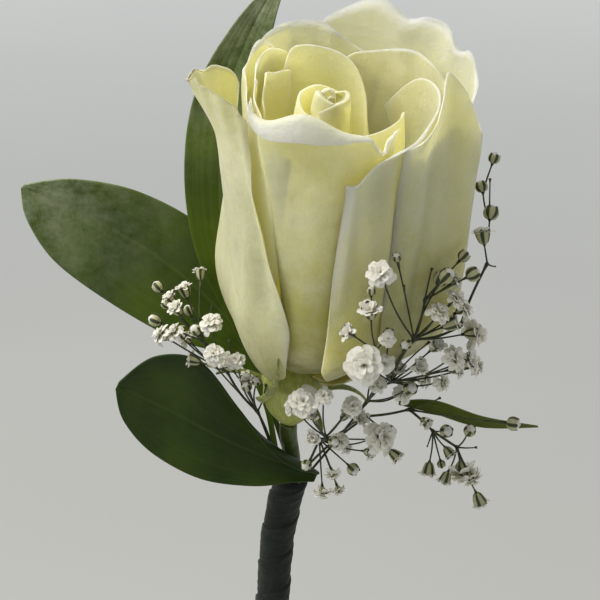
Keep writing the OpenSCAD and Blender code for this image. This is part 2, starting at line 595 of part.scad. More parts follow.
lower_right_rows = [
    [-1,  26, -17,  28, FORK, 1],
    [ 0,  40, -22,  32, FORK, 1],
    [ 1,  48, -24,  25, FORK, 1],
    [ 2,  56, -26,  20, FORK, 1],
    [ 2,  47, -24,  14, BELL, 0.65],
    [ 3,  57, -26,  15, OPEN, 1.02],
    [ 2,  51, -30,  27, BUD, 0.94],
    [ 3,  59, -30,  26, BUD, 0.87],
    [ 3,  63, -24,   3, BELL, 0.67],
    [ 1,  72, -30,  30, BUD, 1.01],
    [ 2,  51, -20,  13, BUD, 0.6]];

// Turns +Z towards a direction
module facing(way) {
    rotate([0, acos(clamp(way[2] / norm(way), -1, 1)), atan2(way[1], way[0])]) children();
}
module knot() {
    r = twig_d / 2;
    polyhedron([[r, 0, 0], [0, r, 0], [-r, 0, 0], [0, -r, 0], [0, 0, r], [0, 0, -r]],
        [[4, 1, 0], [4, 2, 1], [4, 3, 2], [4, 0, 3], [5, 0, 1], [5, 1, 2], [5, 2, 3], [5, 3, 0]]);
}
blossom_sides = 6;
// A round of the blossom: its height and its diameter, both as shares of the blossom's diameter
module blossom_round(d, up, across) {
    translate([0, 0, d * up]) cylinder(d = d * across, h = 0.1, $fn = blossom_sides);
}
module blossom(kind, size) {
    if (kind == OPEN)
        hull() {
            blossom_round(flower_d * size, 0, 0.3);
            blossom_round(flower_d * size, 0.38, 1);
            blossom_round(flower_d * size, 0.6, 0.5);
        }
    if (kind == BELL)
        hull() {
            blossom_round(flower_d * size, 0, 0.25);
            blossom_round(flower_d * size, 0.6, 0.8);
        }
    if (kind == BUD) translate([0, 0, bud_d * size * 0.4]) sphere(d = bud_d * size, $fn = 5);
}
module sprig(rows, root) {
    function place(k) = k < 0 ? root : wrap_top + spray / 100 * [rows[k][1], rows[k][2], rows[k][3]];
    for (k = [0:len(rows) - 1]) {
        hull() {
            translate(place(rows[k][0])) knot();
            translate(place(k)) knot();
        }
        translate(place(k)) facing(place(k) - place(rows[k][0])) blossom(rows[k][4], rows[k][5]);
    }
}
spray_white = [0.85, 0.83, 0.76];
twig_seat = seat + twig_d / 2;
module spray_left() { color(spray_white) sprig(left_rows, tape_spot(-0.74, -0.19, twig_seat)); }
module spray_low() { color(spray_white) sprig(low_rows, tape_spot(0.45, -0.61, twig_seat)); }
module spray_right() { color(spray_white) sprig(right_rows, tape_spot(0.74, -0.19, twig_seat)); }
module spray_lower_right() { color(spray_white) sprig(lower_right_rows, tape_spot(0.61, 0.45, twig_seat)); }

rose_heart();
petal_left_fold();
petal_left_fold_outer();
petal_right_inner();
petal_front_inner();
petal_front();
petal_front_right();
petal_left_inner();
petal_back();
petal_back_right();
petal_right_side();
petal_right_outer();
petal_left_outer();
petal_back_outer();
calyx();
rose_stem();
leaf_top();
leaf_left();
leaf_front();
narrow_leaf();
spray_left();
spray_low();
spray_right();
spray_lower_right();
tape_wrap();
corsage_pin();
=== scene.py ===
# %% [markdown]
# # A white rose to wear on a lapel
# The CAD model comes in first and stays where it is. Everything made here is in metres, in the
# CAD model's own frame: Z up, the front facing -Y, and the pin's place in the stem at the origin.

# %% Load the frame
import math
import random
import bmesh
import bpy
from mathutils import Matrix, Vector, noise


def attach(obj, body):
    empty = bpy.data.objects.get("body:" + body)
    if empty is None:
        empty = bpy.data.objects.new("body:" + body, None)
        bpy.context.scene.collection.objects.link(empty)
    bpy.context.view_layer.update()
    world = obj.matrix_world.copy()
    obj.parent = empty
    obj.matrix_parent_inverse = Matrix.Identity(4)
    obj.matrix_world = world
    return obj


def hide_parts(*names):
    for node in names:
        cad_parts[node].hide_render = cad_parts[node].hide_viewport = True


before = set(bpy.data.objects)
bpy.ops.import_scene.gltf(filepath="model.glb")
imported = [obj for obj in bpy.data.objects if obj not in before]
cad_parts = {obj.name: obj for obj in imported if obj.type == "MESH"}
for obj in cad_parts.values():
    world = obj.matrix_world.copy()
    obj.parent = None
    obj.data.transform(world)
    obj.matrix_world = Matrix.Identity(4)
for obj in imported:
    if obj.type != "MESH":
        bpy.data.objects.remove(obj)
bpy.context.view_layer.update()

# %% [markdown]
# ## Camera
# The flower was photographed from close by and a little above, so the camera looks down by 15
# degrees from a third of a metre away. A long lens on a small frame gives the same perspective.

# %% Make the camera
EYE_AT = (0.0049, -0.3484, 0.1478)
LOOKS_DOWN, LENS, SENSOR = 15, 123.6, 36


def put_in_scene(name, data):
    made = bpy.data.objects.new(name, data)
    bpy.context.scene.collection.objects.link(made)
    return made


eye = bpy.data.cameras.new("camera")
camera = put_in_scene("camera", eye)
camera.location = EYE_AT
camera.rotation_euler = (math.radians(90 - LOOKS_DOWN), 0, 0)
eye.sensor_width, eye.lens, eye.clip_start = SENSOR, LENS, 0.01
bpy.context.scene.camera = camera
print("camera", tuple(camera.location))

# %% [markdown]
# ## Colours and nodes
# Colours are written as hex values, as a picture editor gives them. Blender mixes light, so each
# one is turned to linear first. Materials are small node trees, and one function adds each node
# with its settings and its links.

# %% Helpers for finishes
# A Mix node has sockets for each kind of value. These are the numbers of its colour sockets.
UNDER, OVER, MIXED = 6, 7, 2


def paint(code):
    channels = [int(code[i:i + 2], 16) / 255 for i in (1, 3, 5)]
    return [c / 12.92 if c <= 0.04045 else ((c + 0.055) / 1.055) ** 2.4 for c in channels] + [1]


def add(tree, kind, inputs, **settings):
    """Adds a node. An input is a value, a socket, or a node, which stands for its first output."""
    made = tree.nodes.new("ShaderNode" + kind)
    for key, value in settings.items():
        setattr(made, key, value)
    for key, value in inputs.items():
        if isinstance(value, bpy.types.Node):
            value = value.outputs[0]
        if isinstance(value, bpy.types.NodeSocket):
            tree.links.new(value, made.inputs[key])
        else:
            made.inputs[key].default_value = value
    return made


def new_finish(name):
    finish = bpy.data.materials.new(name)
    finish.use_nodes = True
    finish.node_tree.nodes.clear()
    return finish, finish.node_tree


def stops(ramp, colours):
    line = ramp.color_ramp
    line.interpolation = "EASE"
    while len(line.elements) < len(colours):
        line.elements.new(1.0)
    for stop, (at, code) in zip(line.elements, colours):
        stop.position = at
        stop.color = paint(code)


# %% [markdown]
# ## Meshes
# Petals, leaves and stems all start as a flat grid from bmesh, whose points are then moved. The
# grid's own coordinates, from 0 to 1 both ways, say where each point goes, and stay as the UV map,
# so that veins can follow the petal wherever it bends.

# %% Helpers for meshes
MM, LEAST_WALL = 0.001, 0.05


def grid_onto(bm, across, along, place):
    """Adds a grid to bm and moves each point to place(u, v), in millimetres."""
    uv = bm.loops.layers.uv.verify()
    made = bmesh.ops.create_grid(bm, x_segments=across, y_segments=along, size=0.5)
    spots = {p: (p.co.x + 0.5, p.co.y + 0.5) for p in made["verts"]}
    for face in {f for p in made["verts"] for f in p.link_faces}:
        face.smooth = True
        for loop in face.loops:
            loop[uv].uv = spots[loop.vert]
    for p, (u, v) in spots.items():
        p.co = Vector(place(u, v)) * MM
    return made["verts"]


def finish_piece(bm, name, finish, nodes, wall=0.0, smoother=0, thin=None):
    """Turns bm into a piece that rides on the body and stands for nodes. It gets a wall, in
    millimetres, and smoothing passes. thin(u, v) gives the share of the wall that is left there."""
    if thin:
        uv, weight = bm.loops.layers.uv.verify(), bm.verts.layers.deform.verify()
        for p in bm.verts:
            p[weight][0] = thin(*p.link_loops[0][uv].uv)
    mesh = bpy.data.meshes.new(name)
    bm.to_mesh(mesh)
    bm.free()
    mesh.materials.append(finish)
    piece = put_in_scene(name, mesh)
    if wall:
        thick = piece.modifiers.new("thickness", "SOLIDIFY")
        thick.thickness = wall * MM
        thick.offset = 0
        if thin:
            thick.vertex_group = piece.vertex_groups.new(name="thin").name
            thick.thickness_vertex_group = LEAST_WALL
    if smoother:
        round_off = piece.modifiers.new("smoother", "SUBSURF")
        round_off.levels = smoother
        round_off.render_levels = smoother
    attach(piece, "root")
    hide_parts(*nodes)
    print(name, len(mesh.polygons), "faces")


def unit(v):
    return v.normalized()


def clamp(x, low, high):
    return max(low, min(high, x))


def smooth_step(x):
    x = clamp(x, 0, 1)
    return x * x * (3 - 2 * x)


def sin(a):
    return math.sin(math.radians(a))


def cos(a):
    return math.cos(math.radians(a))


def turned(degrees, axis):
    return Matrix.Rotation(math.radians(degrees), 4, axis)


def between(rows, at):
    """A row between the rows of a table, on a smooth curve through them."""
    last = len(rows) - 1
    i = int(clamp(math.floor(at), 0, last - 1))
    f = at - i
    a, b, c, d = rows[max(i - 1, 0)], rows[i], rows[i + 1], rows[min(i + 2, last)]
    return [0.5 * (2 * q + (r - p) * f + (2 * p - 5 * q + 4 * r - s) * f * f
                   + (3 * q - p - 3 * r + s) * f ** 3) for p, q, r, s in zip(a, b, c, d)]


# %% [markdown]
# ## The rose's measures
# These are the measures of the CAD model, in millimetres, so that each new petal lies where its
# solid does.

# %% Measures
ROSE_H, ROSE_R, PETAL_T, LIP_R = 57, 24, 0.6, 2
ROSE_NOD, ROSE_LEAN = 15, 6.2
HIP_R, HIP_H, DOME_H, SEPAL_L = 5.5, 8.5, 4, 13
STEM_D, NECK_UP, NECK_OUT = 3, 13, 7.8
WRAP_D, WRAP_UP, WRAP_DOWN, TAPE_PITCH, TAPE_STEP = 6.2, 24.5, 19.5, 7, 0.3
LEAF_T, SPRAY, FLOWER_D, BUD_D, TWIG_D = 0.6, 50, 6, 2.4, 0.6
SEAT, CLOTH_GAP = 0.3, 0.2
WRAP_R = WRAP_D / 2
WRAP_Y = -(WRAP_R + CLOTH_GAP)

# The tape's route in shares of its length and width: height, to the right, to the back
WRAP_ROWS = [(0, -0.34, 0), (0.25, -0.14, 0), (0.445, 0, 0), (0.72, 0.15, -0.2), (1, 0.52, -0.75)]


def wrap_at(u):
    height, aside, out = between(WRAP_ROWS, u * (len(WRAP_ROWS) - 1))
    z = height * (WRAP_UP + WRAP_DOWN) - WRAP_DOWN
    return Vector((aside * WRAP_D, WRAP_Y + out * WRAP_D, z))


wrap_top = wrap_at(1)
top_way = unit(wrap_top - wrap_at(0.96))
top_right = unit(Vector((0, 1, 0)).cross(top_way))
top_back = top_way.cross(top_right)


def tape_spot(right, back, up):
    """A spot over the tape's upper end: two shares of its radius, and millimetres up."""
    return wrap_top + WRAP_R * (top_right * right + top_back * back) + top_way * up


hip_foot = wrap_top + Vector((-STEM_D / 15, -NECK_OUT, NECK_UP))
tilt = turned(ROSE_LEAN, "Y") @ turned(ROSE_NOD, "X")
rose_axis = tilt @ Vector((0, 0, 1))
rose_at = hip_foot + rose_axis * HIP_H
on_rose = Matrix.Translation(rose_at) @ tilt
print("rose stands at", [round(c, 2) for c in rose_at])

# %% [markdown]
# ## Petals
# A rose petal is one thin sheet: narrow at the foot, cupped in the middle, and rolled back at the
# rim. It could be sculpted by hand, or bent by cloth simulation, but a formula keeps every petal
# clear of its neighbours. Each row below is one rib from foot to rim: its azimuth at the rim and
# lower down, its radius at the belly and under the lip, its height, how far the lip rolls, the
# lip's radius, and how far it hangs on past the roll. Then comes the ring on the hip that each
# petal stands on, from the inside out, and the radii of the rings.

# %% Petal tables
RIBS = {
    "petal_right_outer": [
        (-8, -1, 0.93, 0.9, 0.9, 20, 1, 0), (4, 8, 0.96, 0.945, 0.97, 40, 1.1, 0),
        (16, 16, 0.98, 0.95, 1.015, 40, 1.1, 0), (28, 26, 0.98, 0.945, 1.02, 40, 1.1, 0),
        (41, 36, 0.97, 0.93, 1.05, 50, 1.2, 0), (56, 46, 0.96, 0.92, 1.04, 55, 1.2, 0),
        (76, 56, 0.95, 0.91, 1.05, 55, 1.2, 0), (100, 68, 0.93, 0.9, 0.985, 40, 1, 0)],
    "petal_back_outer": [
        (76, 86, 0.9, 0.83, 0.8, 10, 1, 0), (96, 102, 0.93, 0.84, 0.86, 20, 1, 0),
        (116, 120, 0.84, 0.82, 0.86, 45, 1, 0), (130, 135, 0.728, 0.805, 0.79, 30, 0.8, 0)],
    "petal_left_outer": [
        (139, 153, 0.72, 0.76, 0.86, 30, 1, 0), (156, 165, 0.62, 0.74, 0.91, 40, 1, 0),
        (174, 180, 0.55, 0.8, 0.945, 35, 0.9, 0), (190, 204, 0.555, 0.84, 0.955, 25, 0.8, 0),
        (204, 234, 0.65, 0.76, 0.95, 20, 0.7, 0), (216, 264, 0.77, 0.67, 0.93, 15, 0.6, 0)],
    "petal_front_right": [
        (-77, -81, 0.9, 0.86, 0.81, 20, 0.8, 0), (-66, -62, 0.84, 0.78, 0.87, 70, 0.7, 0),
        (-46, -44, 0.81, 0.75, 0.91, 90, 0.8, 0), (-22, -24, 0.79, 0.72, 0.95, 60, 0.7, 0),
        (8, -6, 0.78, 0.7, 0.955, 30, 0.6, 0), (34, 5, 0.76, 0.69, 0.92, 15, 0.5, 0),
        (54, 14, 0.74, 0.68, 0.8, 5, 0.5, 0)],
    "petal_right_side": [
        (-52, -54, 0.85, 0.85, 0.9, 5, 0.5, 0), (-41, -43, 0.885, 0.85, 0.955, 5, 0.5, 0),
        (-28, -35, 0.95, 0.8, 1.01, 5, 0.5, 0), (-17, -26, 1, 0.76, 1.06, 10, 0.5, 0),
        (-10, -18, 1.04, 0.89, 0.99, 15, 0.5, 0), (-6, -11, 1.04, 1, 0.885, 25, 0.6, 0),
        (3, -4, 1.04, 1.02, 0.84, 20, 0.6, 0)],
    "petal_front": [
        (-136, -104, 0.655, 0.72, 0.965, 30, 0.5, 0),
        (-121, -100, 0.725, 0.71, 0.95, 140, 0.6, 0.03),
        (-102, -93, 0.77, 0.71, 0.99, 155, 0.6, 0.055),
        (-84, -82, 0.78, 0.71, 0.955, 150, 0.6, 0.015), (-70, -73, 0.77, 0.7, 0.94, 120, 0.6, 0),
        (-61, -66, 0.76, 0.7, 0.905, 80, 0.6, 0), (-50, -58, 0.74, 0.68, 0.935, 40, 0.5, 0)],
    "petal_back_right": [
        (4, 16, 0.84, 0.79, 0.9, 10, 0.6, 0), (22, 27, 0.86, 0.8, 0.94, 25, 0.6, 0),
        (42, 38, 0.87, 0.78, 0.98, 30, 0.6, 0), (62, 54, 0.86, 0.72, 0.95, 25, 0.6, 0),
        (84, 70, 0.8, 0.675, 0.92, 15, 0.5, 0)],
    "petal_back": [
        (62, 74, 0.85, 0.77, 0.9, 10, 0.6, 0), (80, 86, 0.83, 0.765, 0.94, 20, 0.6, 0),
        (97, 98, 0.82, 0.77, 0.99, 45, 0.8, 0), (114, 110, 0.81, 0.77, 0.99, 55, 0.8, 0),
        (133, 122, 0.77, 0.735, 0.95, 30, 0.7, 0)],
    "petal_left_inner": [
        (121, 136, 0.67, 0.69, 0.93, 20, 0.6, 0), (138, 148, 0.63, 0.66, 0.965, 40, 0.6, 0),
        (158, 164, 0.53, 0.59, 0.94, 20, 0.5, 0), (182, 184, 0.485, 0.54, 0.91, 10, 0.5, 0),
        (215, 212, 0.51, 0.545, 0.885, 5, 0.5, 0), (254, 254, 0.62, 0.62, 0.86, 5, 0.5, 0)],
    "petal_right_inner": [
        (50, 34, 0.56, 0.46, 0.8, 5, 0.5, 0), (64, 56, 0.57, 0.48, 0.9, 10, 0.5, 0),
        (80, 80, 0.58, 0.5, 0.95, 20, 0.5, 0), (105, 104, 0.58, 0.51, 0.97, 25, 0.5, 0),
        (128, 126, 0.56, 0.51, 0.97, 10, 0.5, 0)],
    "petal_left_fold_outer": [
        (112, 128, 0.6, 0.595, 0.93, 10, 0.5, 0), (138, 146, 0.545, 0.57, 0.95, 25, 0.5, 0),
        (164, 166, 0.455, 0.505, 0.93, 15, 0.5, 0), (190, 188, 0.425, 0.475, 0.9, 10, 0.5, 0),
        (222, 214, 0.46, 0.485, 0.86, 5, 0.5, 0)],
    "petal_left_fold": [
        (120, 140, 0.46, 0.45, 0.91, 5, 0.5, 0), (144, 156, 0.43, 0.45, 0.925, 20, 0.5, 0),
        (170, 176, 0.375, 0.43, 0.915, 15, 0.5, 0), (198, 198, 0.36, 0.41, 0.88, 10, 0.5, 0)],
    "petal_front_inner": [
        (-140, -128, 0.5, 0.44, 0.86, 5, 0.5, 0), (-112, -108, 0.54, 0.46, 0.88, 10, 0.5, 0),
        (-84, -86, 0.57, 0.48, 0.88, 15, 0.5, 0), (-54, -60, 0.6, 0.5, 0.89, 15, 0.5, 0),
        (-18, -34, 0.6, 0.51, 0.9, 10, 0.5, 0), (16, -16, 0.56, 0.5, 0.88, 5, 0.5, 0)]}
STANDS_ON = {"petal_left_fold": 0, "petal_right_inner": 0, "petal_front_inner": 0,
             "petal_left_fold_outer": 1, "petal_front": 1, "petal_front_right": 2,
             "petal_left_inner": 2, "petal_back": 2, "petal_back_right": 2, "petal_right_side": 3,
             "petal_right_outer": 3, "petal_left_outer": 3, "petal_back_outer": 3}
HANGS = ("petal_front",)
RINGS = [0.38, 0.54, 0.71, 0.9]
TOP, FOOT, BELLY, MOUTH, RISE, ROLL, LIP, HANG = range(8)
print(len(RIBS), "petals in the tables")


# %% [markdown]
# The point at a share s along a rib. From 0 to 1 it climbs from the foot to the mouth, from 1 to 2
# it goes round the lip, and from 2 to 3 down the part that hangs.

# %% A point on a petal
# How the foot rounds out to the belly, how narrow the foot is, and how the petal fans out above
BELLY_AT, FOOT_ROUND, CLAW, FAN_FROM, FAN_POWER = 0.39, 0.75, 0.95, 0.35, 1.3
# A quarter wave ends this many times steeper than its mean. A lip hangs on at least this far.
END_SLOPE, LEAST_HANG = 1.57, 0.006


def dome_z(r):
    return DOME_H * (1 - (r / HIP_R) ** 2)


def rib_point(rib, s, foot_r, mid):
    belly, mouth, lip = rib[BELLY] * ROSE_R, rib[MOUTH] * ROSE_R, rib[LIP] * LIP_R
    foot_z = dome_z(foot_r) + SEAT + PETAL_T / 2
    climb = (1 - BELLY_AT) * ROSE_H * rib[RISE]
    lean = math.degrees(math.atan((mouth - belly) * END_SLOPE / climb))
    crest = lip * (sin(min(90, lean + rib[ROLL])) - sin(lean))
    h = ROSE_H * rib[RISE] - foot_z - crest
    body = min(s, 1)
    phi = lean + rib[ROLL] * clamp(s - 1, 0, 1)
    hang = ROSE_H * max(rib[HANG], LEAST_HANG) * max(s - 2, 0)
    if body < BELLY_AT:
        r = foot_r + (belly - foot_r) * sin(90 * body / BELLY_AT) ** FOOT_ROUND
    else:
        r = belly + (mouth - belly) * (1 - cos(90 * (body - BELLY_AT) / (1 - BELLY_AT)))
    r += lip * (cos(lean) - cos(phi)) + hang * sin(phi)
    z = foot_z + h * body + lip * (sin(phi) - sin(lean)) + hang * cos(phi)
    narrow = CLAW + (1 - CLAW) * min(body / FAN_FROM, 1)
    fan = (max(body - FAN_FROM, 0) / (1 - FAN_FROM)) ** FAN_POWER
    az = mid + (rib[FOOT] - mid) * narrow + (rib[TOP] - rib[FOOT]) * fan
    return Vector((r * cos(az), r * sin(az), z))


# %% [markdown]
# No real petal is as even as its table. Each gets its own small touches: a lift or a dip of the
# rim, soft folds that run up the sheet, side edges that curl away from the rose, and a gentle
# waviness that grows towards the rim.

# %% Touches
# "rim" lists how far along the rim and how high; a fold runs from one point of the sheet to another
# and has a width and a depth; "corner" and "foot" cut the corners at the rim and at the foot
TOUCHES = {
    "petal_right_outer": {
        "rim": [(0, 0), (0.12, 0.3), (0.24, -0.6), (0.36, 0.5), (0.44, -0.9), (0.54, 0.4),
                (0.65, 0.3), (0.73, -1.0), (0.82, 0.5), (0.93, -0.5), (1, 0)],
        "folds": [(0.5, 0.62, 0.44, 1.02, 0.05, -0.6), (0.3, 0.6, 0.24, 1.02, 0.05, 0.5),
                  (0.76, 0.55, 0.73, 1.02, 0.06, -0.7), (0.62, 0.6, 0.62, 1.02, 0.07, 0.5)],
        "wave": 1.1},
    "petal_right_side": {
        "folds": [(0.2, 0.2, 0.24, 0.75, 0.05, -0.5), (0.1, 0.25, 0.11, 0.8, 0.05, 0.6),
                  (0.6, 0.3, 0.62, 1.0, 0.14, 0.4)],
        "curl": (-1.5, 0), "reach": 0.12, "wave": 1.0, "corner": 0.0, "foot": (0.1, 0)},
    "petal_left_outer": {
        "rim": [(0, 0), (0.3, 0.2), (0.36, -0.3), (0.42, 0.9), (0.5, 0.1), (0.6, 0.6), (0.7, -0.3),
                (0.8, 0.4), (0.9, -0.2), (1, 0)],
        "folds": [(0.5, 0.62, 0.5, 1.1, 0.16, 2.0), (0.62, 0.66, 0.6, 1.1, 0.03, -0.7),
                  (0.72, 0.66, 0.7, 1.1, 0.03, -0.5), (0.55, 0.72, 0.54, 1.1, 0.02, 0.5),
                  (0.82, 0.6, 0.78, 1.1, 0.05, 0.6), (0.88, 0.2, 0.93, 0.55, 0.045, -0.8),
                  (0.8, 0.15, 0.84, 0.5, 0.06, 0.6), (0.4, 0.1, 0.45, 0.6, 0.12, 0.5)],
        "curl": (0, 1.0), "reach": 0.09, "wave": 1.7, "corner": 0.02, "foot": (0, 0.1)},
    "petal_front_right": {
        "folds": [(0.5, 0.3, 0.42, 0.9, 0.1, 0.6), (0.24, 0.2, 0.22, 0.8, 0.08, -0.4),
                  (0.07, 0.15, 0.07, 0.8, 0.03, 0.35)],
        "curl": (-1.7, 0), "reach": 0.055, "wave": 0.9, "corner": 0.0, "foot": (0.2, 0)},
    "petal_front": {
        "rim": [(0, 0.2), (0.04, 0), (0.72, 0), (0.8, -0.4), (0.86, -1.4), (0.9, 0.4),
                (0.95, 0.8), (1, 0)],
        "folds": [(0.82, 0.7, 0.78, 0.98, 0.02, 0.5), (0.74, 0.74, 0.72, 1.0, 0.015, 0.4),
                  (0.9, 0.66, 0.88, 0.96, 0.02, -0.5), (0.55, 0.3, 0.5, 0.72, 0.16, 0.5),
                  (0.3, 0.25, 0.3, 0.7, 0.1, -0.4), (0.5, 0.4, 0.5, 0.76, 0.4, -0.9)],
        "curl": (-1.0, 0), "reach": 0.1, "wave": 0.7, "corner": 0.0},
    "petal_back": {
        "rim": [(0, 0), (0.3, 0.3), (0.5, 0.2), (0.7, -0.2), (1, 0)],
        "folds": [(0.4, 0.6, 0.35, 1.02, 0.08, -0.6), (0.7, 0.6, 0.75, 1.02, 0.06, 0.5)],
        "wave": 1.2},
    "petal_back_right": {
        "rim": [(0, 0), (0.2, 0.2), (0.45, -0.3), (0.7, 0.2), (1, 0)],
        "folds": [(0.3, 0.6, 0.25, 1.02, 0.07, 0.6), (0.6, 0.6, 0.6, 1.02, 0.08, -0.7)],
        "wave": 1.2},
    "petal_left_inner": {
        "rim": [(0, 0), (0.2, 0.4), (0.35, -0.3), (0.5, 0.2), (0.7, -0.2), (1, 0)],
        "folds": [(0.25, 0.6, 0.2, 1.02, 0.05, -0.5), (0.45, 0.6, 0.45, 1.02, 0.05, 0.5),
                  (0.92, 0.05, 0.9, 1.02, 0.14, 1.3)],
        "curl": (0, 0.8), "reach": 0.2, "wave": 1.2, "corner": 0.02},
    "petal_left_fold_outer": {
        "rim": [(0, 0), (0.25, 0.7), (0.45, -0.6), (0.65, 0.5), (0.85, -0.5), (1, 0)],
        "folds": [(0.4, 0.5, 0.35, 1.02, 0.06, 0.6), (0.62, 0.5, 0.6, 1.02, 0.05, -0.5)],
        "wave": 1.6},
    "petal_left_fold": {
        "rim": [(0, 0), (0.3, -0.6), (0.55, 0.6), (0.8, -0.4), (1, 0)],
        "folds": [(0.5, 0.5, 0.45, 1.02, 0.07, 0.6)], "wave": 1.6}}
for name in RIBS:
    TOUCHES.setdefault(name, {"wave": 1.1, "corner": 0.1})
print("folds", sum(len(touch.get("folds", ())) for touch in TOUCHES.values()))

# %% [markdown]
# The maker turns a name into a function that places each point of that petal's grid: first on the
# bare sheet from the table, then pushed out of it by the folds, the curled edges and the waves.

# %% Petal maker
# Shares of the grid up to the mouth, and up to the lip's end where a part hangs on
PLAIN_MOUTH, HANG_MOUTH, HANG_LIP = 0.75, 0.68, 0.86
# Shares of the sheet over which the touches fade out
CORNER_REACH, FOOT_REACH, FOLD_END, CURL_FROM, CURL_OVER = 0.14, 0.3, 0.12, 0.12, 0.3
# Slow waves and quicker ones: how many to the millimetre, and how strong
WAVES = ((0.11, 0.5), (0.3, 0.16))


def along_list(pairs, u):
    """Height of a smooth line through (u, height) pairs."""
    if u <= pairs[0][0]:
        return pairs[0][1]
    for (a, p), (b, q) in zip(pairs, pairs[1:]):
        if u <= b:
            return p + (q - p) * smooth_step((u - a) / (b - a))
    return pairs[-1][1]


def station(v, hangs):
    """Where a share v of the grid lies on a rib: 0 to 1 body, to 2 lip, to 3 what hangs."""
    mouth, lip = (HANG_MOUTH, HANG_LIP) if hangs else (PLAIN_MOUTH, 1)
    if v < mouth:
        return v / mouth
    if v < lip or not hangs:
        return 1 + (v - mouth) / (lip - mouth)
    return 2 + (v - lip) / (1 - lip)


def petal_place(name):
    ribs, foot_r = RIBS[name], RINGS[STANDS_ON[name]] * HIP_R
    touch, hangs = TOUCHES[name], name in HANGS
    mid = (ribs[0][FOOT] + ribs[-1][FOOT]) / 2
    seed = Vector((7.1, 3.3, 11.7)) * (1 + list(RIBS).index(name))

    def bare(u, v):
        rib = between(ribs, u * (len(ribs) - 1))
        rib[RISE] += along_list(touch.get("rim", [(0, 0)]), u) / ROSE_H
        near_end = 1 - min(u, 1 - u) / CORNER_REACH
        rib[RISE] -= touch.get("corner", 0.05) * max(near_end, 0) ** 3
        low_left, low_right = touch.get("foot", (0, 0))
        cut = low_left * max(1 - u / FOOT_REACH, 0) ** 2
        cut += low_right * max(1 - (1 - u) / FOOT_REACH, 0) ** 2
        v = cut + (1 - cut) * v
        return rib_point(rib, station(v, hangs), foot_r, mid)

    def place(u, v):
        here, step = bare(u, v), 0.004
        out = unit((bare(min(u + step, 1), v) - bare(max(u - step, 0), v)).cross(
            bare(u, min(v + step, 1)) - bare(u, max(v - step, 0))))
        push = 0
        for u0, v0, u1, v1, width, depth in touch.get("folds", ()):
            t = clamp((v - v0) / (v1 - v0), 0, 1)
            near = (u - (u0 + (u1 - u0) * t)) / width
            fade = smooth_step((v - v0) / FOLD_END) * smooth_step((v1 - v) / FOLD_END)
            push += depth * math.exp(-near * near) * fade
        left, right = touch.get("curl", (0, 0))
        reach = touch.get("reach", 0.08)
        rise = smooth_step((v - CURL_FROM) / CURL_OVER)
        push += left * clamp(1 - u / reach, 0, 1) ** 2 * rise
        push += right * clamp(1 - (1 - u) / reach, 0, 1) ** 2 * rise
        wave = sum(noise.noise(seed + here * often) * strong for often, strong in WAVES)
        push += touch.get("wave", 0.8) * wave * smooth_step((v - 0.1) / 0.8)
        return on_rose @ (here + out * push)

    return place


# %% [markdown]
# ## The finish of a petal
# A white rose is never plain white. The sheet is ivory at the rim, creamy in the body and turns
# yellow green towards its foot, and light goes through it; the glow of the deep gaps is painted in as
# emission. Fine veins fan out from the foot, and tiny velvet cells break up the shine. The colours
# follow the petal's own UV map, and subsurface scattering lets the light through.

# %% Petal finishes
# The second colour is a painted glow, given off in the deep gaps of the petals
DRY_TIP, PAINTED_GLOW_COLOUR = "#5A4A26", "#E0D97A"


